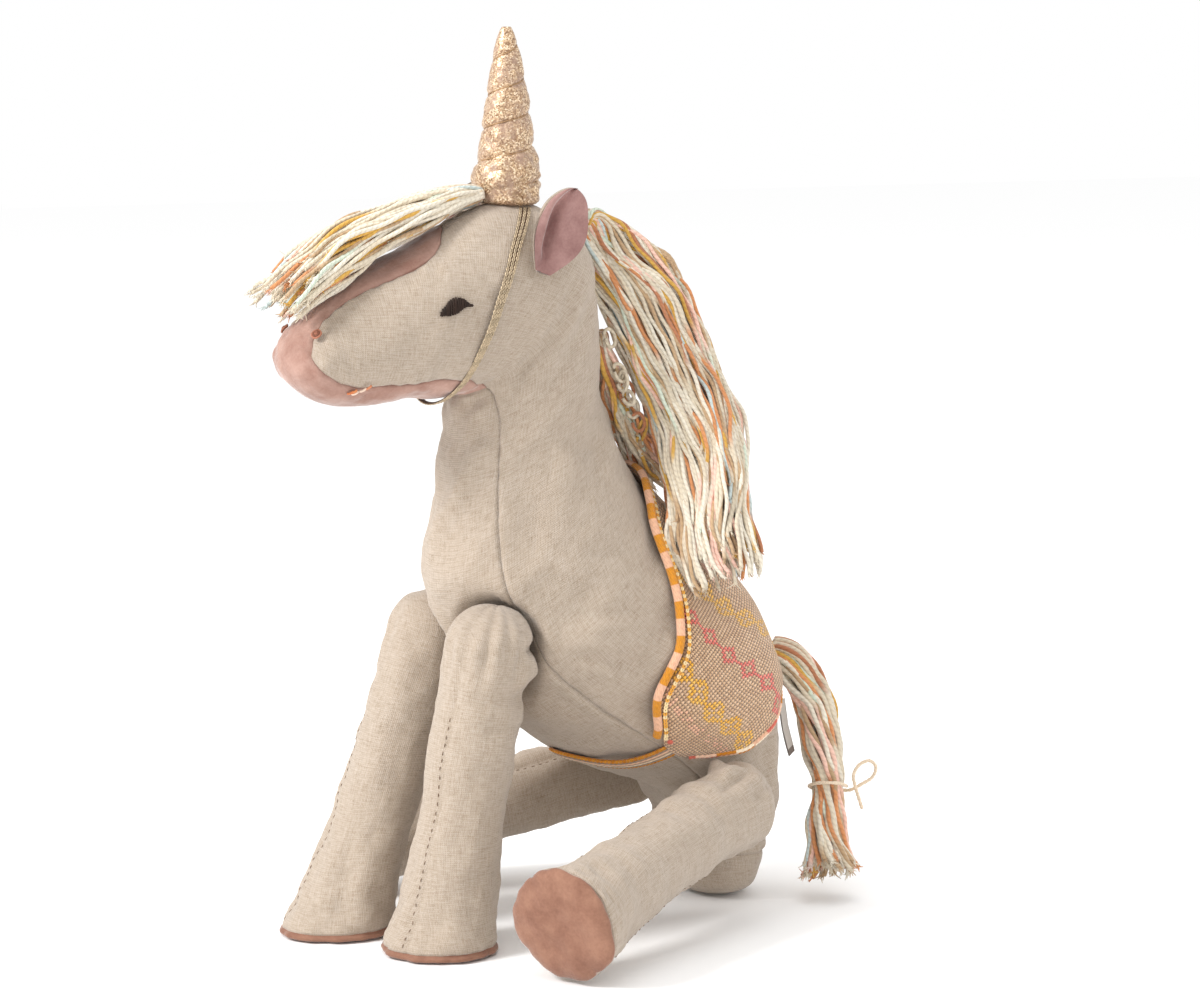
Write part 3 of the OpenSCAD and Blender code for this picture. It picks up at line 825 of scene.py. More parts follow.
def leg_surface(which):
    """Grid of the cloth of one leg as if it were on the left, its normals, places and open end."""
    rows, columns = 84, 88
    front = which.startswith("front")
    top, foot = np.array(SHOULDER if front else HIP, float), np.array(FEET[which], float)
    length = np.linalg.norm(foot - top)
    run, e1, e2 = leg_frame(top, foot, -22 if front else 35)
    a = np.arange(columns) * 2 * math.pi / columns
    across = np.cos(a)[:, None] * e1 + np.sin(a)[:, None] * e2
    if front:
        end = np.full(columns, length)
        for _ in range(12):
            end = (SOLE_T - top[2] - leg_radius(end, length) * across[:, 2]) / run[2]
    else:
        end = np.full(columns, length - SOLE_T)
    cap = -LEG_TOP_R * np.cos(np.linspace(0.03, 0.5, 18)[:, None] * math.pi) + 0 * a
    shaft = np.linspace(0, 1, rows + 1)[1:, None]
    shaft = (shaft + 0.12 * np.sin(math.pi * shaft)) * end
    s = np.concatenate([cap, shaft])
    r = leg_radius(s, length)
    base = top + s[..., None] * run + r[..., None] * across
    normal = across + 0 * base
    normal = np.where((s < 0)[..., None], unit(base - top), normal)
    return base, normal, s, a, end, length, run


def dress_leg(base, normal, s, a, end, length, front):
    """Moves the cloth of a leg: slack, folds at the top, seams, and the tuck where the sole joins."""
    swell, fold, pucker = Ripple(46), Ripple(17), Ripple(6)
    degrees = np.degrees(a)[None]
    lift = 0.65 * swell(base) + 0.42 * fold(base) + 0.12 * pucker(base)
    seam = np.minimum(np.abs(np.sin(a / 2)), np.abs(np.cos(a / 2)))[None] * 2 * leg_radius(s, length)
    lift -= 0.75 * bump(seam, 1.2) + 0.5 * bump(seam, 4.5) * (1 + 0.9 * pucker(base))
    lift -= 0.9 * bump(end - s, 1.2) + 0.35 * bump(end - s, 4)
    lift += 0.3 * pucker(base) * bump(end - s, 9)
    for angle, at, wide, tall, height in FRONT_FOLDS if front else HIND_FOLDS:
        off = (degrees - angle + 180) % 360 - 180
        lift += height * bump(off, wide) * bump(s - at, tall)
    return base + normal * lift[..., None]


# Section of a sole from its rim to its middle: share of the rim's distance, and height in mm
FRONT_SOLE = [(0.985, 0.5), (1.0, -0.35), (1.035, -0.9), (1.045, -1.7), (1.02, -2.6), (0.96, -3.05),
    (0.86, -3.2), (0.7, -3.2), (0.5, -3.2), (0.3, -3.2), (0.12, -3.2)]
HIND_SOLE = [(0.985, 0.5), (1.0, -0.35), (1.03, -0.9), (1.035, -1.8), (1.01, -2.8), (0.95, -3.7),
    (0.86, -4.4), (0.74, -4.9), (0.6, -5.3), (0.45, -5.5), (0.3, -5.6), (0.15, -5.6)]
STITCH_LEN, STITCH_GAP, STITCH_R = 1.5, 1.9, 0.17


def stitches(bundle, path, normals, colour):
    """Running stitches along a path: each a short thread that dips into the cloth at both ends."""
    travel = lengths(path)
    rise = np.sin(np.linspace(0, math.pi, 5)) * 1.5 * STITCH_R - 0.3 * STITCH_R
    at = STITCH_GAP
    while at + STITCH_LEN < travel[-1]:
        k = np.linspace(at, at + STITCH_LEN, 5)
        line = at_lengths(k, travel, path) + at_lengths(k, travel, normals) * rise[:, None]
        bundle.add(tube_rings(line, STITCH_R, 5), colour)
        at += STITCH_LEN + STITCH_GAP * draw.uniform(0.8, 1.3)


def make_leg(which, linen, plush, thread):
    front, side = which.startswith("front"), SIDE[which.split("_")[1]]
    base, normal, s, a, end, length, run = leg_surface(which)
    cloth = dress_leg(base, normal, s, a, end, length, front)
    if not front:
        x = cloth[..., 0] - HIP_FLAT_X
        cloth[..., 0] = HIP_FLAT_X + 1.6 * np.logaddexp(0, x / 1.6)
    flat = [side, 1, 1]
    made = surface(which + "_leg_cloth", cloth * flat, linen, wrap=True, uv=cloth_uv(base, True),
        close=(True, False), flip=side < 0)
    turn_in(made, HEM)
    body_name = which + "_leg"
    attach(made, body_name, "linen", which + "_leg_cover", which + "_leg_stuffing", fill=0.9)

    rim = cloth[-1]
    down = np.array([0, 0, -1.0]) if front else run
    hub = rim.mean(0)
    profile = FRONT_SOLE if front else HIND_SOLE
    fine = along(profile, np.linspace(0, len(profile) - 1, 3 * len(profile) - 2))
    scale, depth = fine[:, 0], -fine[:, 1]
    grid = hub + (rim - hub)[None] * scale[:, None, None] + down * depth[:, None, None]
    soft = Ripple(16)
    crown = 0.35 * soft(grid) * np.clip(depth, 0, 1)[:, None]
    outward = unit(grid - (hub - 12 * down))
    grid = grid + outward * (np.minimum(crown, 0.1) if front else crown)[..., None]
    if front:
        grid[..., 2] = np.maximum(grid[..., 2], 0.05)
    sole = surface(which + "_sole_pad", grid * flat, plush, wrap=True, close=(False, True), flip=side < 0)
    attach(sole, body_name, "blush_plush", which + "_sole", fill=0.7)

    # The stitches run one column beside the front and the back seam
    bundle = Bundle()
    rows = slice(30, len(s) - 2)
    for column in (1, len(a) // 2 + 1):
        stitches(bundle, cloth[rows, column] * flat, normal[rows, column] * flat, srgb(120, 96, 74))
    seams = bundle.build(which + "_leg_stitches", thread)
    attach(seams, body_name, "brown_thread")
    return made, seams


sole_plush = blush_look("sole_plush", srgb(156, 116, 96), srgb(124, 86, 70))
thread = yarn_look("sewing_thread")
leg_covers = {which: make_leg(which, linen, sole_plush, thread) for which in FEET}


# Stuffed cloth: each cover as a cloth that its filling presses outwards, held along its seams

FRAMES, SLACK, PRESSURE = 20, -0.05, 4.0
# Size of the squares of a copy in metres, how much of its movement is taken over, and the most in mm
BODY_PRESS, LEG_PRESS = (0.0068, 0.8, 2.4), (0.0058, 0.9, 2.0)
HELD_REACH, FREE_REACH = 0.0045, 0.0055
OUTWARD = 0.25


def cover_copy(name, covers, held, voxel):
    """An even mesh over the covers, set up as cloth; held are points in metres where it is sewn down."""
    bm = bmesh.new()
    for cover in covers:
        bm.from_mesh(cover.data)
    if len(covers) == 1:
        bmesh.ops.holes_fill(bm, edges=[e for e in bm.edges if e.is_boundary], sides=0)
    mesh = bpy.data.meshes.new(name)
    bm.to_mesh(mesh)
    bm.free()
    copy = bpy.data.objects.new(name, mesh)
    bpy.context.scene.collection.objects.link(copy)
    remesh = copy.modifiers.new("even", "REMESH")
    remesh.mode = "VOXEL"
    remesh.voxel_size = voxel
    even = bpy.data.meshes.new_from_object(copy.evaluated_get(bpy.context.evaluated_depsgraph_get()))
    copy.modifiers.clear()
    copy.data = even
    group = copy.vertex_groups.new(name="sewn")
    kd = tree_of(held)
    for v in even.vertices:
        group.add([v.index], float(bump(kd.find(v.co)[2], HELD_REACH)), "REPLACE")
    cloth = copy.modifiers.new("cloth", "CLOTH")
    cloth.settings.vertex_group_mass = "sewn"
    cloth.settings.quality = 5
    cloth.settings.mass = 0.25
    cloth.settings.bending_stiffness = 0.4
    cloth.settings.shrink_min = SLACK
    cloth.settings.use_pressure = True
    cloth.settings.uniform_pressure_force = PRESSURE
    cloth.settings.effector_weights.gravity = 0
    cloth.point_cache.frame_start, cloth.point_cache.frame_end = 1, FRAMES
    return copy


def settle(copies):
    """Runs the cloth of all the copies and gives, for each, its points, normals and how far they moved."""
    scene = bpy.context.scene
    for frame in range(1, FRAMES + 1):
        scene.frame_set(frame)
    moves = []
    for copy in copies:
        before = np.array([v.co for v in copy.data.vertices]) / MM
        out = np.array([v.normal for v in copy.data.vertices])
        after = copy.evaluated_get(bpy.context.evaluated_depsgraph_get()).to_mesh()
        move = ((np.array([v.co for v in after.vertices]) / MM - before) * out).sum(1)
        moves.append((before, out, move))
    for copy in copies:
        bpy.data.objects.remove(copy)
    scene.frame_set(1)
    return moves


def follow(obj, points, normals, move, gain, limit, held):
    """Moves a cover as its copy moved, nearly always inwards, so that what lies on it stays clear.

    It stays where it is sewn, and nearly so on the head, which is stuffed hard.
    """
    kd, sewn = tree_of(points), tree_of(held)
    level = np.percentile(move, 80)
    vertices = obj.data.vertices
    at = np.array([v.co for v in vertices])
    out, mean = np.empty((len(at), 3)), np.empty(len(at))
    for k, p in enumerate(at / MM):
        near = kd.find_n(p, 4)
        share = [1 / (d + 1.5) ** 2 for _, _, d in near]
        mean[k] = sum(w * move[n] for w, (_, n, _) in zip(share, near)) / sum(share)
        out[k] = sum(w * normals[n] for w, (_, n, _) in zip(share, near)) / sum(share)
    free = 1 - bump([sewn.find(p)[2] for p in at], FREE_REACH)
    face = 1 - 0.92 * smooth(at[:, 2], 0.205, 0.232) * smooth(-at[:, 1], 0.068, 0.086)
    depth = np.clip(gain * (mean - level), -limit, OUTWARD) * face * free * MM
    obj.data.vertices.foreach_set("co", (at + out * depth[:, None]).ravel())
    obj.data.update()


def press_covers():
    panels = list(body.values())
    seams = [v.co.copy() for cover in panels for v in rim_points(cover)]
    copies = [cover_copy("body_copy", panels, seams, BODY_PRESS[0])]
    groups = [(panels, *BODY_PRESS[1:], seams)]
    for which, covers in leg_covers.items():
        held = [v.co.copy() for v in rim_points(covers[0])]
        copies.append(cover_copy(which + "_copy", covers[:1], held, LEG_PRESS[0]))
        groups.append((covers, *LEG_PRESS[1:], held))
    for copy, (covers, gain, limit, held) in zip(settle(copies), groups):
        for cover in covers:
            follow(cover, *copy, gain, limit, held)


def rim_points(obj):
    """Points on the open edges of a cover."""
    bm = bmesh.new()
    bm.from_mesh(obj.data)
    found = {v.index for e in bm.edges if e.is_boundary for v in e.verts}
    bm.free()
    return [obj.data.vertices[k] for k in found]


press_covers()


# Ears

EAR_LEN, EAR_HALF_W, EAR_ROOT_HALF_W = 37, 12.5, 3.5
EAR_CUP = 5


def ear_point(s, v, h):
    """Point of the left ear: s from root to tip, v across it from its front rim, h towards its lining."""
    s, v, h = np.broadcast_arrays(np.asarray(s, float), v, h)
    up, out = unit([0.05, 0.42, 1]), np.array([1.0, 0, 0])
    back = np.cross(up, out)
    low = EAR_ROOT_HALF_W + (EAR_HALF_W - EAR_ROOT_HALF_W) * np.sin(math.pi * np.minimum(s, 0.5))
    high = EAR_HALF_W * np.sqrt(np.clip(1 - (2 * s - 1) ** 2, 0.0, None))
    width = np.where(s < 0.5, low, high)
    cup = EAR_CUP * v**2 * np.sin(np.radians(150 * s + 30))
    root = over_skin(18.1, 70, 1.0)
    return (root + (EAR_LEN * s)[..., None] * up + (width * v)[..., None] * back
        + (h + cup)[..., None] * out)


def make_ear(side_name, linen, plush):
    side = SIDE[side_name]
    flat = [side, 1, 1]
    body_name = side_name + "_ear"
    s = 0.5 - 0.5 * np.cos(math.pi * np.linspace(0, 0.985, 44))[:, None]
    w = np.sin(np.linspace(-1, 1, 41) * math.pi / 2)[None]
    soft = Ripple(13)
    grid = ear_point(s, w, 0.2)
    fold_at = 0.3 + 0.45 * (s - 0.5)
    fold = 4.6 * bump(w + fold_at, 0.2) * smooth(s, 0.05, 0.4) * (1 - 0.8 * smooth(s, 0.6, 0.97))
    fold = fold - 2.4 * bump(w + fold_at + 0.42, 0.24) * smooth(s, 0.1, 0.5)
    fold = fold - 1.4 * bump(w + fold_at - 0.35, 0.26) * bump(s - 0.55, 0.4)
    curl = 3.2 * smooth(s, 0.72, 1.0)
    back = ear_point(s, w, -0.35 * soft(grid) - fold + curl)
    inner = ear_point(s, w * 0.93, 0.7 - fold + curl)
    loop = np.concatenate([back, inner[:, ::-1]], 1)
    outer = surface(body_name + "_cloth", loop * flat, linen, wrap=True, close=(True, True), flip=side < 0)
    attach(outer, body_name, "linen", side_name + "_ear_outer", fill=0.3)
    puff = 0.9 * (1 - w**4) + 0.25 * soft(grid)
    face = ear_point(s, w * 0.95 + 0.02, 1.7 + puff - fold + curl)
    under = ear_point(s, w * 0.9 + 0.02, 0.6 - fold + curl)
    loop = np.concatenate([under, face[:, ::-1]], 1)
    lining = surface(body_name + "_lining_cloth", loop * flat, plush, wrap=True, close=(True, True),
        flip=side < 0)
    attach(lining, body_name, "blush_plush", side_name + "_ear_lining", fill=0.3)


ear_plush = blush_look("ear_plush", srgb(170, 133, 127), srgb(132, 95, 91))
for side_name in SIDE:
    make_ear(side_name, linen, ear_plush)


# Horn

HORN_FOOT = np.array([0, -104, 310.0])
HORN_H, HORN_R = 72, 13.5
THREAD_LOW, THREAD_HIGH, THREAD_TURNS = 6.0, 62.0, 4


def horn_radius(z):
    z = np.asarray(z, float)
    return HORN_R * np.clip(1 - z / (HORN_H + 1), 0, 1) ** 0.5 + 1.7 * bump(z - 10, 8)


def horn_look():
    """Crackled metal foil on a beige cloth."""
    look = Look("horn_foil", Roughness=0.42, Sheen_Weight=0.1, Specular_IOR_Level=0.5)
    place = look.place()
    flakes = {"Vector": place, "Scale": 1900.0}
    cracks = look.node("TexVoronoi", flakes, out="Distance", feature="DISTANCE_TO_EDGE")
    cells = look.node("TexVoronoi", flakes, out="Color", feature="F1")
    grey = look.node("RGBToBW", {0: cells})
    worn = look.noise(place, 160.0, 4.0, 0.65)
    foil = look.ramp(look.math("ADD", worn, look.math("MULTIPLY", cracks, 0.45)),
        [(0.38, (0, 0, 0)), (0.62, (1, 1, 1))])
    gold = look.ramp(grey, [(0.15, srgb(132, 100, 74)), (0.4, srgb(182, 148, 116)),
        (0.62, srgb(214, 184, 148)), (0.85, srgb(250, 230, 200))])
    cloth = look.ramp(look.noise(place, 700.0, 3.0), [(0.3, srgb(140, 110, 92)), (0.7, srgb(180, 150, 128))])
    look.put(look.shader.inputs["Metallic"], look.math("MULTIPLY", foil, 0.72))
    height = look.math("ADD", look.math("MULTIPLY", grey, 0.6), look.math("MULTIPLY", worn, 0.8))
    return look.finish(look.mix(foil, cloth, gold), height, 0.8, 0.35)


def horn_lean(z):
    """How far the horn leans aside at each height."""
    return 0.9 * np.sin(z / 24.0)[:, None] * np.array([0.4, 0.5, 0]) * (z[:, None] / HORN_H)


def make_horn():
    look = horn_look()
    z = np.concatenate([[0.9], np.linspace(1.6, HORN_H - 0.6, 150), HORN_H - 0.35 + np.zeros(1)])
    a = np.arange(96) * 2 * math.pi / 96
    turns = (z - THREAD_LOW) / (THREAD_HIGH - THREAD_LOW) * THREAD_TURNS
    phase = (turns[:, None] - a / (2 * math.pi)) % 1.0
    off = np.minimum(phase, 1 - phase)
    radius = horn_radius(z)[:, None]
    fade = (smooth(turns, -0.25, 0.15) * (1 - smooth(turns, THREAD_TURNS + 0.1, THREAD_TURNS + 0.5)))[:, None]
    puff = 1.0 * np.sin(math.pi * phase) ** 0.8 - 0.9 * bump(off, 0.08) - 0.55
    soft, fine = Ripple(9), Ripple(3.2)
    ring = np.stack([np.cos(a), np.sin(a), 0 * a], 1)
    axis_points = np.stack([0 * z, 0 * z, z], 1)[:, None] + HORN_FOOT
    rough = axis_points + radius[..., None] * ring
    share = np.clip(radius / HORN_R, 0.25, 1)
    radius = radius + share * (puff * fade + 0.35 * soft(rough) + 0.14 * fine(rough))
    grid = axis_points + radius[..., None] * ring + horn_lean(z)[:, None]
    # The hem reaches down to the head, which curves away under it
    drop = 0.6 * (1.4 + 5.2 * (grid[0, :, 0] / 16.5) ** 2 + 0.0105 * (grid[0, :, 1] - HORN_FOOT[1]) ** 2)
    hem = np.array([[0.9, 1.0], [0.985, 0.6], [1.0, 0.2]])
    reach = grid[0] - HORN_FOOT
    skirt = np.stack([HORN_FOOT + reach * [k, k, 1] - drop[:, None] * [0, 0, d] for k, d in hem])
    grid = np.concatenate([skirt, grid])
    cover = surface("horn_cloth", grid, look, wrap=True, close=(True, True))
    attach(cover, "horn", "horn_fabric", "horn_cover", "horn_stuffing", "horn_base", fill=0.9)

    k = np.linspace(-0.12, THREAD_TURNS + 0.15, 260)
    tz = THREAD_LOW + (THREAD_HIGH - THREAD_LOW) * k / THREAD_TURNS
    tr = horn_radius(tz) - 1.2 * np.clip(horn_radius(tz) / HORN_R, 0.25, 1)
    angle = 2 * math.pi * k
    path = HORN_FOOT + np.stack([tr * np.cos(angle), tr * np.sin(angle), tz], 1) + horn_lean(tz)
    bundle = Bundle()
    bundle.add(tube_rings(path, 0.3, 8, twist=0.45, lobes=2, lobe_depth=0.3), srgb(170, 138, 104))
    wound = bundle.build("horn_thread_winding", metal_thread)
    attach(wound, "horn", "metallic_yarn", "horn_thread")


def metal_yarn_look():
    look = Look("metallic_yarn", Roughness=0.38, Metallic=0.45, Specular_IOR_Level=0.5)
    glint = look.noise(look.place(), 2600.0, 2.0, 0.7)
    tone = look.ramp(glint, [(0.35, (0.5, 0.45, 0.4)), (0.6, (1.25, 1.2, 1.1))])
    return look.finish(look.mix(0.85, look.tint(), tone, "MULTIPLY"), glint, 0.7, 0.3)


metal_thread = metal_yarn_look()
make_horn()


# Yarn

CREAM, WHITE, TAN = srgb(213, 201, 180), srgb(224, 216, 200), srgb(186, 157, 124)
ORANGE, RUST, MUSTARD = srgb(206, 142, 96), srgb(180, 122, 90), srgb(206, 162, 80)
PINK, MINT, SKY = srgb(232, 192, 176), srgb(208, 218, 202), srgb(196, 210, 210)
YARN_COLOURS = np.array([CREAM, WHITE, TAN, ORANGE, RUST, MUSTARD, PINK, MINT, SKY])
STRAND_STEP = 1.8


def strand_colours(travel, weights):
    """Space-dyed yarn: the colour changes softly every few centimetres."""
    weights = np.asarray(weights, float) / np.sum(weights)
    colour = np.repeat(YARN_COLOURS[draw.choice(len(weights), p=weights)][None], len(travel), 0)
    at = draw.uniform(15, 90)
    while at < travel[-1]:
        after = YARN_COLOURS[draw.choice(len(weights), p=weights)]
        k = smooth(travel, at, at + 9)[:, None]
        colour = colour * (1 - k) + after * k
        at += draw.uniform(25, 90)
    return colour * draw.uniform(0.93, 1.04)


def past_end(rows, u):
    """Along a table, and straight on past its end."""
    rows = np.asarray(rows, float)
    last = len(rows) - 1
    inside = along(rows, np.minimum(u, last))
    slope = (along(rows, np.array([last])) - along(rows, np.array([last - 0.15])))[0] / 0.15
    return inside + np.clip(u - last, 0, None)[:, None] * slope


def strand_fray(bundle, end, run, colour, radius):
    """The cut end of a yarn: a few loose fibres."""
    for _ in range(4):
        lean = unit(run + 0.38 * draw.normal(size=3))
        k = np.linspace(0, draw.uniform(1.6, 3.6), 4)[:, None]
        path = end - 0.6 * run + k * lean + k**2 * 0.05 * draw.normal(size=3)
        bundle.add(tube_rings(path, radius * np.linspace(0.42, 0.12, 4), 5), np.minimum(colour * 1.12, 1))


def make_hank(name, path, wide_to, layers, weights, radius, wander, ragged, spread, spin=0.0, crimp=0.35):
    """Strands of yarn side by side in layers round an oval path [x, y, z, half width, half thickness].

    layers: share of the way out and number of strands; weights: how much of each colour; wander and
    crimp: long and short waves in mm; ragged: how much shorter or longer a strand is; spread: how much
    the hank opens at its end; spin: turn of the whole hank.
    """
    path = np.asarray(path, float)
    last = len(path) - 1
    bundle = Bundle()
    drift, sway = Ripple(70), Ripple(34)
    shift, roll = Ripple(52), Ripple(40)
    span = np.linalg.norm(np.diff(path[:, :3], axis=0), axis=1).sum()
    for share, count in layers:
        for number in range(count):
            around = 2 * math.pi * (number + draw.uniform(-0.35, 0.35)) / count
            length = 1 + draw.uniform(*ragged)
            rings = max(12, int(span * length / STRAND_STEP))
            u = np.linspace(0, last * length, rings)
            rows = past_end(path, u)
            centre, wide_r, thick_r = rows[:, :3], rows[:, 3:4], rows[:, 4:5]
            run = unit(np.gradient(centre, axis=0))
            wide = unit(wide_to - run * (run @ wide_to)[:, None])
            thick = np.cross(run, wide)
            key = np.array([math.cos(around), math.sin(around), share]) * 70
            turn = around + spin * u / last + 0.14 * drift(key + centre * 0.35)
            k = share + 0.05 * sway(key * 2 + centre * 0.6)
            open_up = 1 + spread * smooth(u, last * 0.82, last * 1.02)[:, None]
            place = (np.cos(turn)[:, None] * wide * (wide_r - radius) * k[:, None]
                + np.sin(turn)[:, None] * thick * (thick_r - radius) * k[:, None]) * open_up
            p = centre + place
            near = smooth(u, 0, last * 0.25)[:, None]
            stray = shift(p + key)[:, None] * wide * wander, roll(p - key)[:, None] * thick * 0.6 * wander
            p = p + near * (stray[0] + stray[1])
            travel = lengths(p)
            phase = draw.uniform(0, 2 * math.pi, 2)
            p += near * crimp * (np.sin(travel / 3.1 + phase[0])[:, None] * wide
                + np.sin(travel / 4.3 + phase[1])[:, None] * thick)
            colour = strand_colours(travel, weights)
            bundle.add(tube_rings(p, radius, 7), colour, travel)
            strand_fray(bundle, p[-1], unit(p[-1] - p[-2]), colour[-1], radius)
    return bundle.build(name, yarn)


PLY_TWIST = 2.6


def twist_look():
    """Two-ply yarn: the plies wind round each other, each with its own fine fibres; the grooves between the
    plies carry painted shade and their crests a painted highlight.
    """
    look = Look("twisted_yarn", **dict(YARN, Specular_IOR_Level=0.2))
    travel, round_it = look.lengths()
    turn = look.math("MULTIPLY", round_it, 4 * math.pi)
    turn = look.math("MULTIPLY_ADD", travel, 2 * math.pi / PLY_TWIST, turn)
    # Painted shade and highlight: ply runs from 0 in the groove between the plies to 1 on a crest
    ply = look.math("ABSOLUTE", look.math("SINE", look.math("MULTIPLY", turn, 0.5)))
    fine = look.noise(look.place(), 2100.0, 3.0, 0.7)
    value = look.math("MULTIPLY_ADD", fine, 0.55, look.math("MULTIPLY", ply, 0.5))
    # The tone is fibre noise plus the painted ply shade: dark in the grooves, above 1 on the crests
    tone = look.ramp(value, [(0.15, (0.70, 0.64, 0.57)), (0.38, (0.95, 0.93, 0.9)),
        (0.75, (1.08, 1.07, 1.05))])
    return look.finish(look.mix(0.8, look.tint(), tone, "MULTIPLY"), value, 0.8, 0.4)


MANE = [[0, -68, 300.5, 6.5, 4], [0, -65, 299, 8, 5], [0.5, -56.5, 288, 11, 6.5], [5, -41.5, 266, 18, 11],
    [14, -30.5, 236.5, 18.5, 12], [26.5, -25.5, 210, 19.5, 12.5], [37, -27.5, 188, 19, 12.5],
    [46, -30.5, 170, 17, 9], [50.5, -27.5, 154, 13, 7]]
FORELOCK = [[0, -118.5, 312.2, 7, 3.8], [0, -121, 312, 8, 4.5], [0, -134, 309.5, 12, 6],
    [0, -154, 303, 15, 8.5], [0, -176, 293.5, 17, 10], [0, -196, 281.5, 18, 10.5], [0, -211, 270, 16, 8.5]]
TAIL = [[0, 30, 107, 6, 4.5], [6, 37, 101, 9, 7.5], [13, 44.5, 84, 9.5, 9], [20, 44.5, 67, 9, 9],
    [24, 44.5, 55, 8, 8], [27, 43.5, 45, 7, 7], [32, 39.5, 33, 8.6, 8.2], [36, 37.5, 21, 9.6, 9.4],
    [40, 36, 11, 12.5, 11]]
# Shares of the nine yarn colours. The tan share stands partly for darker yarn and partly for painted shade
# deep inside the hanks; the deep mix, for the yarn under the mane, is darker partly as painted shade.
MIXED = [12, 8, 4, 2, 1, 1.7, 2.8, 1.4, 0.5]
PALE_MIX = [10, 8, 1.5, 1.5, 0.4, 1.3, 3, 2.2, 1.8]
DEEP_SHADED_MIX = [8, 3, 6, 2.2, 2, 2.4, 3.2, 0.8, 0]

yarn = twist_look()
mane = make_hank("mane_strands", MANE, np.array([0.55, 0.83, 0]),
    [(1.04, 16), (0.97, 84), (0.82, 62), (0.62, 34), (0.35, 12)], MIXED,
    radius=0.85, wander=2.2, ragged=(-0.25, 0.09), spread=0.4)
attach(mane, "mane", "yarn", "mane")
forelock = make_hank("forelock_strands", FORELOCK, np.array([1.0, 0, 0]),
    [(1.02, 10), (0.95, 60), (0.74, 40), (0.45, 16)], PALE_MIX,
    radius=0.9, wander=1.7, ragged=(-0.24, 0.0), spread=0.25)
attach(forelock, "forelock", "yarn", "forelock")
tail = make_hank("tail_strands", TAIL, np.array([0.51, 0.86, 0]),
    [(1.0, 8), (0.95, 34), (0.7, 22), (0.35, 8)], MIXED,
    radius=1.1, wander=0.8, ragged=(-0.08, 0.0), spread=0.2, spin=-3.4, crimp=0.45)
attach(tail, "tail", "yarn", "tail")


LOCK_HEIGHTS = [[9.0, 11], [9.9, 10.5], [10.8, 9], [11.7, 7.8], [12.6, 6.4], [13.4, 5], [14.1, 3.5]]


def make_mane_loops():
    """Under the mane: a wavy lock sewn along the back of the neck, with small loops along its top."""
    places = np.array([14.1, 13.4, 12.6, 11.7, 10.8, 9.9, 9.2])
    centres = over_skin(places, 1.0, table(LOCK_HEIGHTS, places))
    sizes = np.array([[3.5, 2.4], [5, 3.4], [6, 4.4], [7.5, 5.6], [9, 6.2], [10, 6.4], [10, 6]])
    lock = make_hank("mane_under_lock", np.hstack([centres, sizes]), np.array([1.0, 0, 0]),
        [(1.0, 10), (0.93, 40), (0.65, 24), (0.3, 8)], DEEP_SHADED_MIX,
        radius=0.9, wander=2.4, ragged=(-0.3, 0.03), spread=0.3, crimp=0.9)
    attach(lock, "torso", "yarn", "mane_loops")
    bundle = Bundle()
    for at in np.arange(14.0, 10.2, -0.11):
        turn = draw.uniform(-24, 26)
        foot = over_skin(at, turn * 0.6, table(LOCK_HEIGHTS, at) - 0.5)
        out = unit(skin_normal(at, turn) + 0.3 * draw.normal(size=3))
        down = unit(np.array([0.3 * draw.normal(), 0.15, -1.0]))
        size = draw.uniform(2.4, 4.6)
        a = np.linspace(0, 2 * math.pi * 0.94, 22)[:, None]
        sway = np.cross(out, down) * draw.uniform(-0.5, 0.5)
        loop = foot + size * ((1 - np.cos(a)) * (0.75 * out + 0.25 * sway) + np.sin(a) * 1.15 * down)
        loop = loop + a * 0.35 * np.cross(out, down)
        travel = lengths(loop)
        bundle.add(tube_rings(loop, 0.8, 7), strand_colours(travel, DEEP_SHADED_MIX), travel)
    attach(bundle.build("mane_small_loops", yarn), "torso", "yarn")


make_mane_loops()


# Blanket

BLANKET_LOW = [[0, 6.1], [20, 5.2], [32, 4.7], [60, 4.5], [93, 4.55], [106, 4.8], [118, 5.1], [125, 5.45]]
BLANKET_FRONT = [[0, 10.1], [30, 9.9], [50, 9.3], [57, 8.6], [67, 7.9], [84, 7.2], [98, 7], [109, 6.8],
    [125, 5.9]]
BLANKET_END = 125.0
BLANKET_T = 1.3
UPPER_BAND = [[5.5, 26], [5.7, 30], [6.5, 49], [7.1, 56], [8, 58], [9, 57]]
MIDDLE_BAND = [[5, 54], [5.8, 66], [6.3, 71], [6.8, 72], [7.6, 70], [8.5, 66], [9.5, 62]]
LOWER_BAND = [[5, 91], [5.6, 96], [6.1, 96], [6.5, 93], [7, 90], [7.5, 88]]
# Rows of knitting from the back line to the three bands and the end, and the size of a stitch
BAND_ROWS = (23, 39, 55, 74)
ROSY_ROW = 62
STITCH_W, STITCH_H = 1.5, 1.3


def knit_place(u, t):
    """Rows of knitting from the back line, signed by side, and lengths along the body."""
    side, t = np.sign(t), abs(t)
    bands = [table(b, u) for b in (UPPER_BAND, MIDDLE_BAND, LOWER_BAND)]
    knots = [np.zeros_like(u), *bands, np.full_like(u, BLANKET_END)]
    rows = [0, *BAND_ROWS]
    place = np.zeros_like(t)
    for a, b, ra, rb in zip(knots[:-1], knots[1:], rows[:-1], rows[1:]):
        k = (t - a) / (b - a)
        place = np.where(k >= 0, ra + (rb - ra) * k, place)
    return side * place * STITCH_H


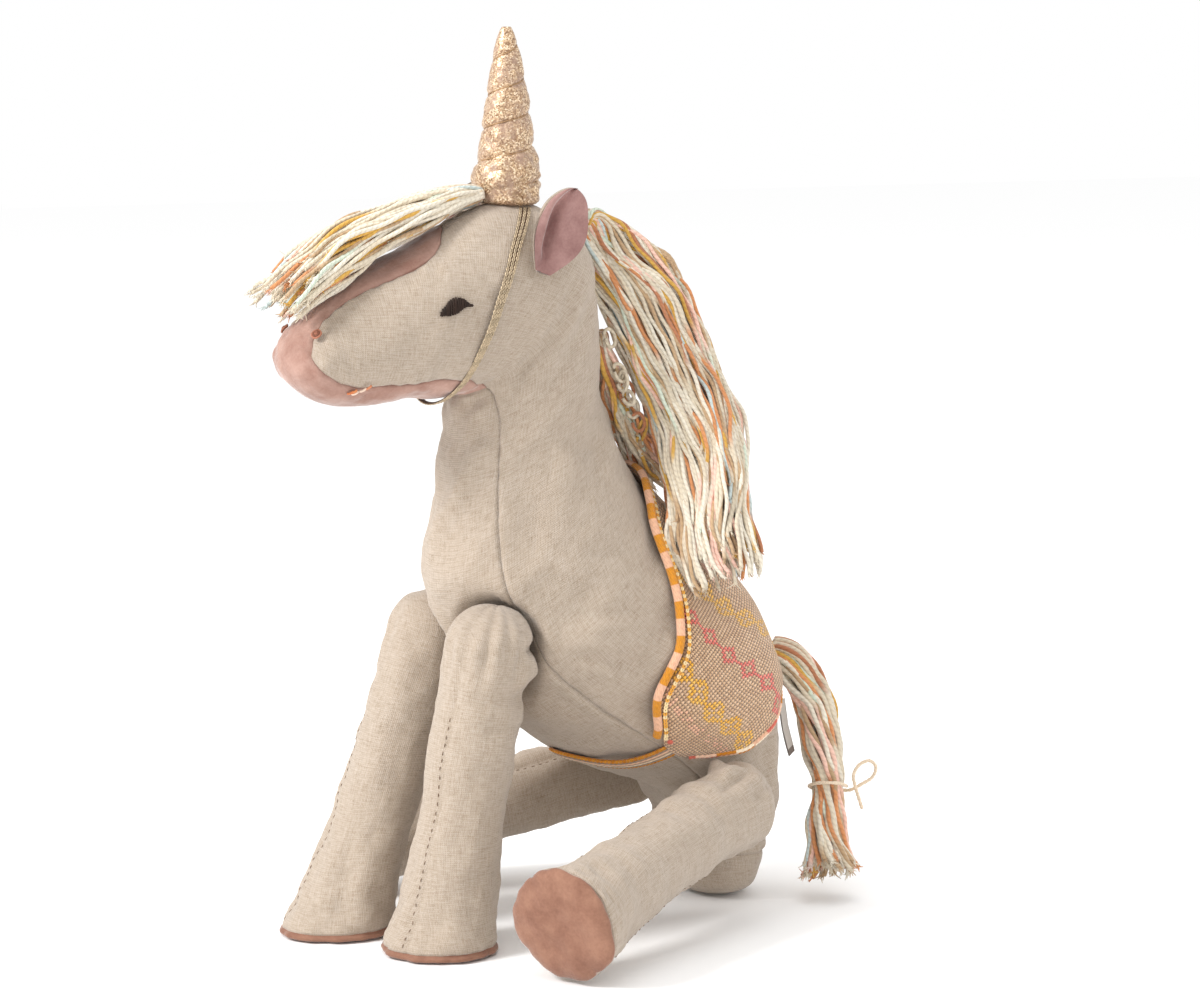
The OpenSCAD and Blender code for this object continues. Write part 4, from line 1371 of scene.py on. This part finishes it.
def knit_look():
    """Knitted wool in beige and brown flecks, with bands of linked diamonds and zigzags."""
    look = Look("knitted_wool", **dict(CLOTH, Sheen_Weight=0.35, Specular_IOR_Level=0.15))
    wobble = look.noise(look.place(), 160.0, 2.0)
    down, across = look.lengths()
    m = look.math
    x = m("DIVIDE", across, STITCH_W)
    y = m("ADD", m("DIVIDE", m("ABSOLUTE", down), STITCH_H), m("MULTIPLY_ADD", wobble, 1.2, -0.6))
    column = m("FLOOR", x)
    leg = m("ABSOLUTE", m("SUBTRACT", m("FRACT", x), 0.5))
    row_place = m("SUBTRACT", y, m("MULTIPLY", leg, 0.9))
    row = m("FLOOR", row_place)
    along_row = m("FRACT", row_place)
    loop = m("MULTIPLY", m("SINE", m("MULTIPLY", along_row, math.pi)),
        m("SINE", m("MULTIPLY", m("FRACT", x), math.pi)))
    loop = m("POWER", m("MAXIMUM", loop, 0.0), 0.5)
    flecks = look.node("TexWhiteNoise", {"Vector": look.node("CombineXYZ", {0: column, 1: row, 2: 0.0})})
    drift = look.noise(look.place(), 900.0, 3.0, 0.7)
    wool = look.ramp(m("MULTIPLY_ADD", drift, 0.6, m("MULTIPLY", flecks, 0.3)),
        [(0.2, srgb(178, 144, 114)), (0.45, srgb(198, 164, 132)), (0.62, srgb(208, 176, 145)),
        (0.85, srgb(220, 191, 160))])

    def part_of(period, start):
        """Stitches from the middle of a repeat of the pattern."""
        inside = m("MODULO", m("ADD", column, 4000.0 + start), float(period))
        return m("ABSOLUTE", m("SUBTRACT", inside, period // 2))

    def from_row(band):
        return m("ABSOLUTE", m("SUBTRACT", row, float(band)))

    def both(a, b):
        return m("MULTIPLY", a, b)

    c, r = part_of(8, 0), from_row(BAND_ROWS[1])
    ring = m("COMPARE", m("ADD", c, r), 2.5, 0.7)
    link = both(m("GREATER_THAN", c, 3.5), m("LESS_THAN", r, 0.5))
    bead = both(both(m("GREATER_THAN", c, 2.5), m("LESS_THAN", r, 0.5)), m("LESS_THAN", c, 3.6))
    coral = m("MINIMUM", m("ADD", m("ADD", ring, link), bead), 1.0)
    cloth = look.mix(m("MULTIPLY", coral, 0.95), wool,
        look.mix(flecks, srgb(206, 98, 88), srgb(228, 128, 114)))
    for band, colour in ((BAND_ROWS[0], srgb(214, 164, 76)), (BAND_ROWS[2], srgb(222, 162, 48))):
        c, r = part_of(8, 4), from_row(band)
        zig = both(m("COMPARE", m("SUBTRACT", c, r), 0.4, 0.8), m("LESS_THAN", r, 3.5))
        outer = both(m("COMPARE", m("ADD", c, r), 4.0, 0.6), m("GREATER_THAN", c, 2.5))
        shown = m("MINIMUM", m("ADD", zig, outer), 1.0)
        cloth = look.mix(m("MULTIPLY", shown, 0.95), cloth, look.mix(flecks, colour, srgb(228, 180, 92)))
    rosy = both(m("LESS_THAN", from_row(ROSY_ROW), 1.5), m("GREATER_THAN", flecks, 0.45))
    blush = look.mix(m("MULTIPLY", rosy, 0.5), cloth, srgb(234, 176, 150))
    # Painted shade and highlight of the stitches: dark between the loops, above 1 on their crests
    shade = look.ramp(loop, [(0.1, (0.3, 0.24, 0.19)), (0.55, (0.8, 0.77, 0.74)), (0.9, (1.3, 1.29, 1.27))])
    height = m("MULTIPLY_ADD", drift, 0.1, loop)
    return look.finish(look.mix(1.0, blush, shade, "MULTIPLY"), height, 0.9, 0.55)


def blanket_height(u, low, front):
    """Height of the upper face over the body: low at the rims, cushioned between them."""
    rim = np.minimum(np.minimum(u - low, front - u) * SECTION_STEP, 6) / 6
    return 1.7 + 0.75 * smooth(rim, 0, 1)


def make_blanket():
    t = np.linspace(-BLANKET_END, BLANKET_END, 300)
    low, front = table(BLANKET_LOW, abs(t)) - 0.02, table(BLANKET_FRONT, abs(t)) + 0.03
    across = np.linspace(0, 1, 70)
    u = low[:, None] + (front - low)[:, None] * across
    turn = np.repeat(t[:, None], len(across), 1)
    swell = Ripple(34)
    low, front = low[:, None], front[:, None]
    h = blanket_height(u, low, front)
    h = h + 0.35 * swell(skin(u, turn)) * smooth(np.minimum(u - low, front - u), 0, 0.3)
    upper = over_skin(u, turn, h)
    lower = over_skin(u, turn, h - BLANKET_T)
    uv = np.stack([knit_place(u, turn), u * SECTION_STEP], -1)
    points = np.concatenate([upper, lower[:, ::-1]], 1)
    corners = np.concatenate([uv, uv[:, ::-1]], 1)
    corners = np.concatenate([corners, corners[:, :1]], 1)
    blanket = surface("knitted_blanket", points, knit_look(), wrap=True, uv=corners, close=(True, True))
    if not is_outward(blanket):
        blanket.data.flip_normals()
    attach(blanket, "torso", "knit", "saddle_blanket")


def braid(bundle, path, normal, half, radius, pitch, colours):
    """Chain stitch: small slanted loops in pairs along a path, with normal away from the cloth."""
    travel = lengths(path)
    count = int(travel[-1] / pitch)
    run = unit(np.gradient(path, axis=0))
    for k in range(count):
        tint = colours(k * pitch)
        for side in (-1, 1):
            s = (k + np.linspace(-0.25, 1.0, 5)) * pitch
            at = at_lengths(s, travel, path)
            r, n = unit(at_lengths(s, travel, run)), unit(at_lengths(s, travel, normal))
            across = np.cross(n, r)
            sway = np.array([0.15, 0.95, 1.05, 0.6, 0.05])[:, None]
            lift = np.array([-0.25, 0.25, 0.35, 0.1, -0.2])[:, None]
            line = at + side * half * sway * across + radius * lift * n
            bundle.add(tube_rings(line, radius * np.array([0.7, 1, 1.05, 0.95, 0.6]), 6), tint, s - s[0])


def rope(bundle, path, radius, colours, sides=10):
    """Two-ply yarn along a path; colours gives its colour at each length."""
    travel = lengths(path)
    tint = np.array([colours(s) for s in travel])
    bundle.add(tube_rings(path, radius, sides, twist=0.22, lobes=2, lobe_depth=0.22), tint, travel)


GOLD, DEEP_GOLD = srgb(206, 138, 44), srgb(196, 124, 38)
SHELL, CORAL = srgb(226, 178, 148), srgb(206, 104, 88)
BUTTER, AMBER = srgb(246, 224, 176), srgb(232, 170, 74)
RIM_COLOURS = (SHELL, srgb(244, 226, 200), DEEP_GOLD, srgb(236, 196, 170), CORAL)
# Lengths of one colour, in mm: a pair of blocks on the roll, and one length on the lower rim
BLOCK_PAIR, RIM_LENGTH = 14.6, 9.5


def make_blanket_rims():
    roll, rim = Bundle(), Bundle()
    t = np.linspace(-BLANKET_END + 2, BLANKET_END - 2, 900)
    soft = evened(table(BLANKET_FRONT, abs(t)), 20)
    middle = over_skin(soft + 0.17, t, 2.1)
    away = skin_normal(soft, t)
    run = unit(np.gradient(middle, axis=0))
    across = np.cross(away, run)

    def blocks(s):
        return GOLD if (s / BLOCK_PAIR) % 1 < 0.52 else SHELL

    # The roll is a tube of knitting: ribs run along it, each with its own stitches
    path_len = lengths(middle)
    tints = np.array([blocks(s) for s in path_len])
    for angle in np.radians(np.arange(-200, 60, 26)):
        line = middle + 1.35 * (math.cos(angle) * across - math.sin(angle) * away)
        travel = lengths(line)
        beads = 0.52 + 0.1 * abs(np.sin(math.pi * travel / 1.05 + angle * 3))
        roll.add(tube_rings(line, beads, 7), tints, travel)
    # A core tube at 0.55 of the rib colours: a dark sheet of painted shade seen in the gaps between the ribs
    roll.add(tube_rings(middle, 1.3, 10), tints * 0.55, path_len)
    braid(roll, over_skin(soft - 0.03, t, 3.05)[::2], skin_normal(soft, t)[::2], 0.55, 0.42, 1.6,
        lambda s: BUTTER if (s / 1.6) % 2 < 1 else AMBER)
    attach(roll.build("blanket_front_knit_roll", yarn), "torso", "mustard_knit", "blanket_front_roll")

    t = np.linspace(-BLANKET_END + 3, BLANKET_END - 3, 900)
    soft = evened(table(BLANKET_LOW, abs(t)), 20)

    def mixed(s):
        return RIM_COLOURS[int(s / RIM_LENGTH) % len(RIM_COLOURS)]

    rope(rim, over_skin(soft + 0.005, t, 1.6), 0.95, mixed)
    rope(rim, over_skin(soft - 0.055, t, 1.0), 0.75, lambda s: mixed(s + 14))
    for side in (-1, 1):
        # Coral tassel knot on each lower front corner
        at = over_skin(5.95, side * 121.0, np.linspace(0.8, 3.0, 6))
        rim.add(tube_rings(at, [1.1, 1.5, 1.6, 1.5, 1.1, 0.4], 10), CORAL)
    attach(rim.build("blanket_low_rim", yarn), "torso", "coral_yarn", "blanket_edge_stitch")


GIRTH_LINE = [[128, 5.7], [140, 5.75], [150, 5.85], [160, 6.1], [170, 6.4], [180, 6.5]]


def make_girth():
    bundle = Bundle()
    t = np.linspace(120, 240, 360)
    middle = evened(table(GIRTH_LINE, np.minimum(t, 360 - t)), 12)
    tints = (srgb(150, 132, 116), srgb(226, 206, 180), srgb(176, 148, 126), srgb(232, 190, 160),
        srgb(150, 132, 116))
    for place, colour in zip((-1.9, -0.95, 0.0, 0.95, 1.9), tints):
        rope(bundle, over_skin(middle + place / SECTION_STEP, t, 1.55), 0.58, lambda s, c=colour: c, 8)
    for side in (-1, 1):
        at = middle + side * 3.1 / SECTION_STEP
        braid(bundle, over_skin(at, t, 1.2)[::2], skin_normal(at, t)[::2], 0.5, 0.45, 1.7,
            lambda s: GOLD if (s / 1.7) % 3 < 2 else DEEP_GOLD)
        rope(bundle, over_skin(at, t, 0.7), 0.6, lambda s: DEEP_GOLD, 8)
    attach(bundle.build("girth_band", yarn), "torso", "mustard_knit", "girth_elastic")


LABEL_AT = (21, 22, 87)


def make_label():
    """A blank tab of tape, gently bowed, its lower end painted dark brown as the shade of a fold."""
    x = np.linspace(-6, 6, 13)
    z = np.linspace(0, -24, 22)
    bend = 0.9 * np.sin(z / 24 * math.pi * 0.9) + 0.25
    front = np.stack(np.broadcast_arrays(x[:, None], bend + 0.35, z), -1)
    grid = np.concatenate([front, (front + [0, -0.5, 0])[:, ::-1]], 1)
    lean, turn = math.radians(12), math.radians(-45)
    turned = np.array(Matrix.Rotation(turn, 3, "Z") @ Matrix.Rotation(lean, 3, "X"))
    grid = grid @ turned.T + LABEL_AT
    look = Look("woven_tape", Roughness=0.8, Sheen_Weight=0.2)
    down = look.lengths()[1]
    rib = look.math("ABSOLUTE", look.math("SINE", look.math("MULTIPLY", down, 2 * math.pi / 0.8)))
    # Painted shade: below 21.2 mm the tape is dark brown, standing for the shade of a folded end
    fold = look.math("LESS_THAN", down, -21.2)
    base = look.mix(fold, srgb(176, 168, 158), srgb(84, 66, 52))
    grain = look.noise(look.place(), 2400.0, 2.0, 0.6)
    grain = look.ramp(grain, [(0.3, (0.82, 0.82, 0.82)), (0.7, (1.1, 1.1, 1.1))])
    cloth = look.mix(0.8, base, grain, "MULTIPLY")
    uv = np.stack(np.broadcast_arrays(x[:, None], np.concatenate([z, z[::-1]])), -1)
    uv = np.concatenate([uv, uv[:, :1]], 1)
    made = surface("blank_label_tape", grid, look.finish(cloth, rib, 0.3, 0.15), wrap=True, uv=uv,
        close=(True, True))
    if not is_outward(made):
        made.data.flip_normals()
    attach(made, "label", "label_tape", "label")


make_blanket()
make_blanket_rims()
make_girth()
make_label()


# Band from the horn down both cheeks and under the chin

BAND_AT = 19.0


def make_chin_band():
    t = np.linspace(20, 340, 420)
    at = BAND_AT + table([[20, -0.45], [56, -0.1], [86, 0], [116, -0.1], [139, -0.3], [180, -0.35]],
        np.minimum(t, 360 - t))
    bundle = Bundle()
    for place in (-2.2, 0.0, 2.2):
        braid(bundle, over_skin(at + place / SECTION_STEP, t, 1.15), skin_normal(at, t), 0.36, 0.33, 2.1,
            lambda s: srgb(190, 174, 150) * (0.86 if int(s / 2.1) % 3 == 1 else 1.05))
    for place in (-1.1, 1.1):
        bundle.add(tube_rings(over_skin(at + place / SECTION_STEP, t, 0.85), 0.42, 7), srgb(84, 58, 40))
    band = bundle.build("chin_elastic_band", metal_thread)
    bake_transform(band)
    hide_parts("chin_elastic")


make_chin_band()


# Face

BROWN = srgb(40, 23, 13)


def stitch_line(bundle, path, radius, colour, sides=6):
    bundle.add(tube_rings(path, radius, sides), colour, np.arange(len(path)) * 0.5)


# Outline of the left eye from its front to its back: [section, angle] above and below
EYE_ABOVE = [[20.7, 81], [20.6, 78], [20.5, 75.6], [20.38, 75], [20.2, 77], [20.08, 79.5], [19.96, 82],
    [19.86, 84]]
EYE_BELOW = [[20.7, 82], [20.6, 83.4], [20.47, 84.8], [20.33, 85.4], [20.2, 85.2], [20.08, 83.8],
    [19.95, 83.6], [19.86, 84.4]]


def make_eye(side):
    """Satin stitch in brown floss, with a short lash at its back."""
    bundle = Bundle()
    for k in np.linspace(0, 7, 30):
        above, below = along(EYE_ABOVE, k), along(EYE_BELOW, k)
        v = np.linspace(-0.04, 1.04, 9)[:, None]
        line = above + (below - above) * v + [0.03 * draw.uniform(-1, 1), 0]
        rise = 0.15 + 0.85 * np.sqrt(np.clip(1 - (2 * v[:, 0] - 1) ** 2, 0.02, 1)) * (1 - 0.5 * k / 7)
        path = over_skin(line[:, 0], side * line[:, 1], rise)
        stitch_line(bundle, path, 0.46, BROWN * draw.uniform(0.6, 1.3))
    name = "left_eye" if side > 0 else "right_eye"
    attach(bundle.build(name + "_stitching", floss), "torso", "brown_thread", name)


def make_nostrils():
    bundle = Bundle()
    for side in (-1, 1):
        at, out = over_skin(24.0, side * 44.0, 1.0), skin_normal(24.0, side * 44.0)
        e = unit(np.cross(out, [0, 0.3, 1]))
        f = np.cross(out, e)
        for radius, lift, thick in ((1.9, -0.3, 0.42), (1.15, 0.0, 0.4), (0.45, 0.3, 0.42)):
            a = np.linspace(0, 2 * math.pi * 1.06, 30)[:, None]
            ring = at + radius * (np.cos(a) * e + np.sin(a) * f) + (lift + 0.15 * np.sin(3 * a)) * out
            stitch_line(bundle, ring, thick, srgb(160, 104, 82) * draw.uniform(0.6, 1.2), 8)
    attach(bundle.build("nostril_knot_stitching", floss), "torso", "copper_thread", "nostril_knots")


# Stitches at a corner of the mouth: section and angle of the middle of each, and its colour
MOUTH = [(22.9, 128, srgb(212, 134, 84)), (22.84, 130.2, srgb(236, 214, 196)),
    (22.99, 129.2, srgb(206, 120, 74)), (22.62, 127, srgb(226, 200, 180)), (22.48, 125, srgb(206, 132, 96))]


def make_mouth():
    bundle = Bundle()
    v = np.linspace(-1, 1, 9)
    rise = 0.35 + 0.6 * np.sqrt(1 - 0.95 * v**2)
    for side in (-1, 1):
        for u, t, colour in MOUTH:
            stitch_line(bundle, over_skin(u + 0.085 * v, side * (t + 1.6 * v), rise), 0.5, colour, 8)
    attach(bundle.build("mouth_corner_stitching", floss), "torso", "orange_thread", "mouth_stitches")


def floss_look():
    look = Look("cotton_floss", Roughness=0.6, Sheen_Weight=0.03, Specular_IOR_Level=0.25)
    fibre = look.noise(look.place(), 3000.0, 2.0, 0.6)
    tone = look.ramp(fibre, [(0.3, (0.7, 0.7, 0.7)), (0.7, (1.15, 1.15, 1.15))])
    return look.finish(look.mix(0.8, look.tint(), tone, "MULTIPLY"), fibre, 0.4, 0.2)


floss = floss_look()
make_eye(1)
make_eye(-1)
make_nostrils()
make_mouth()
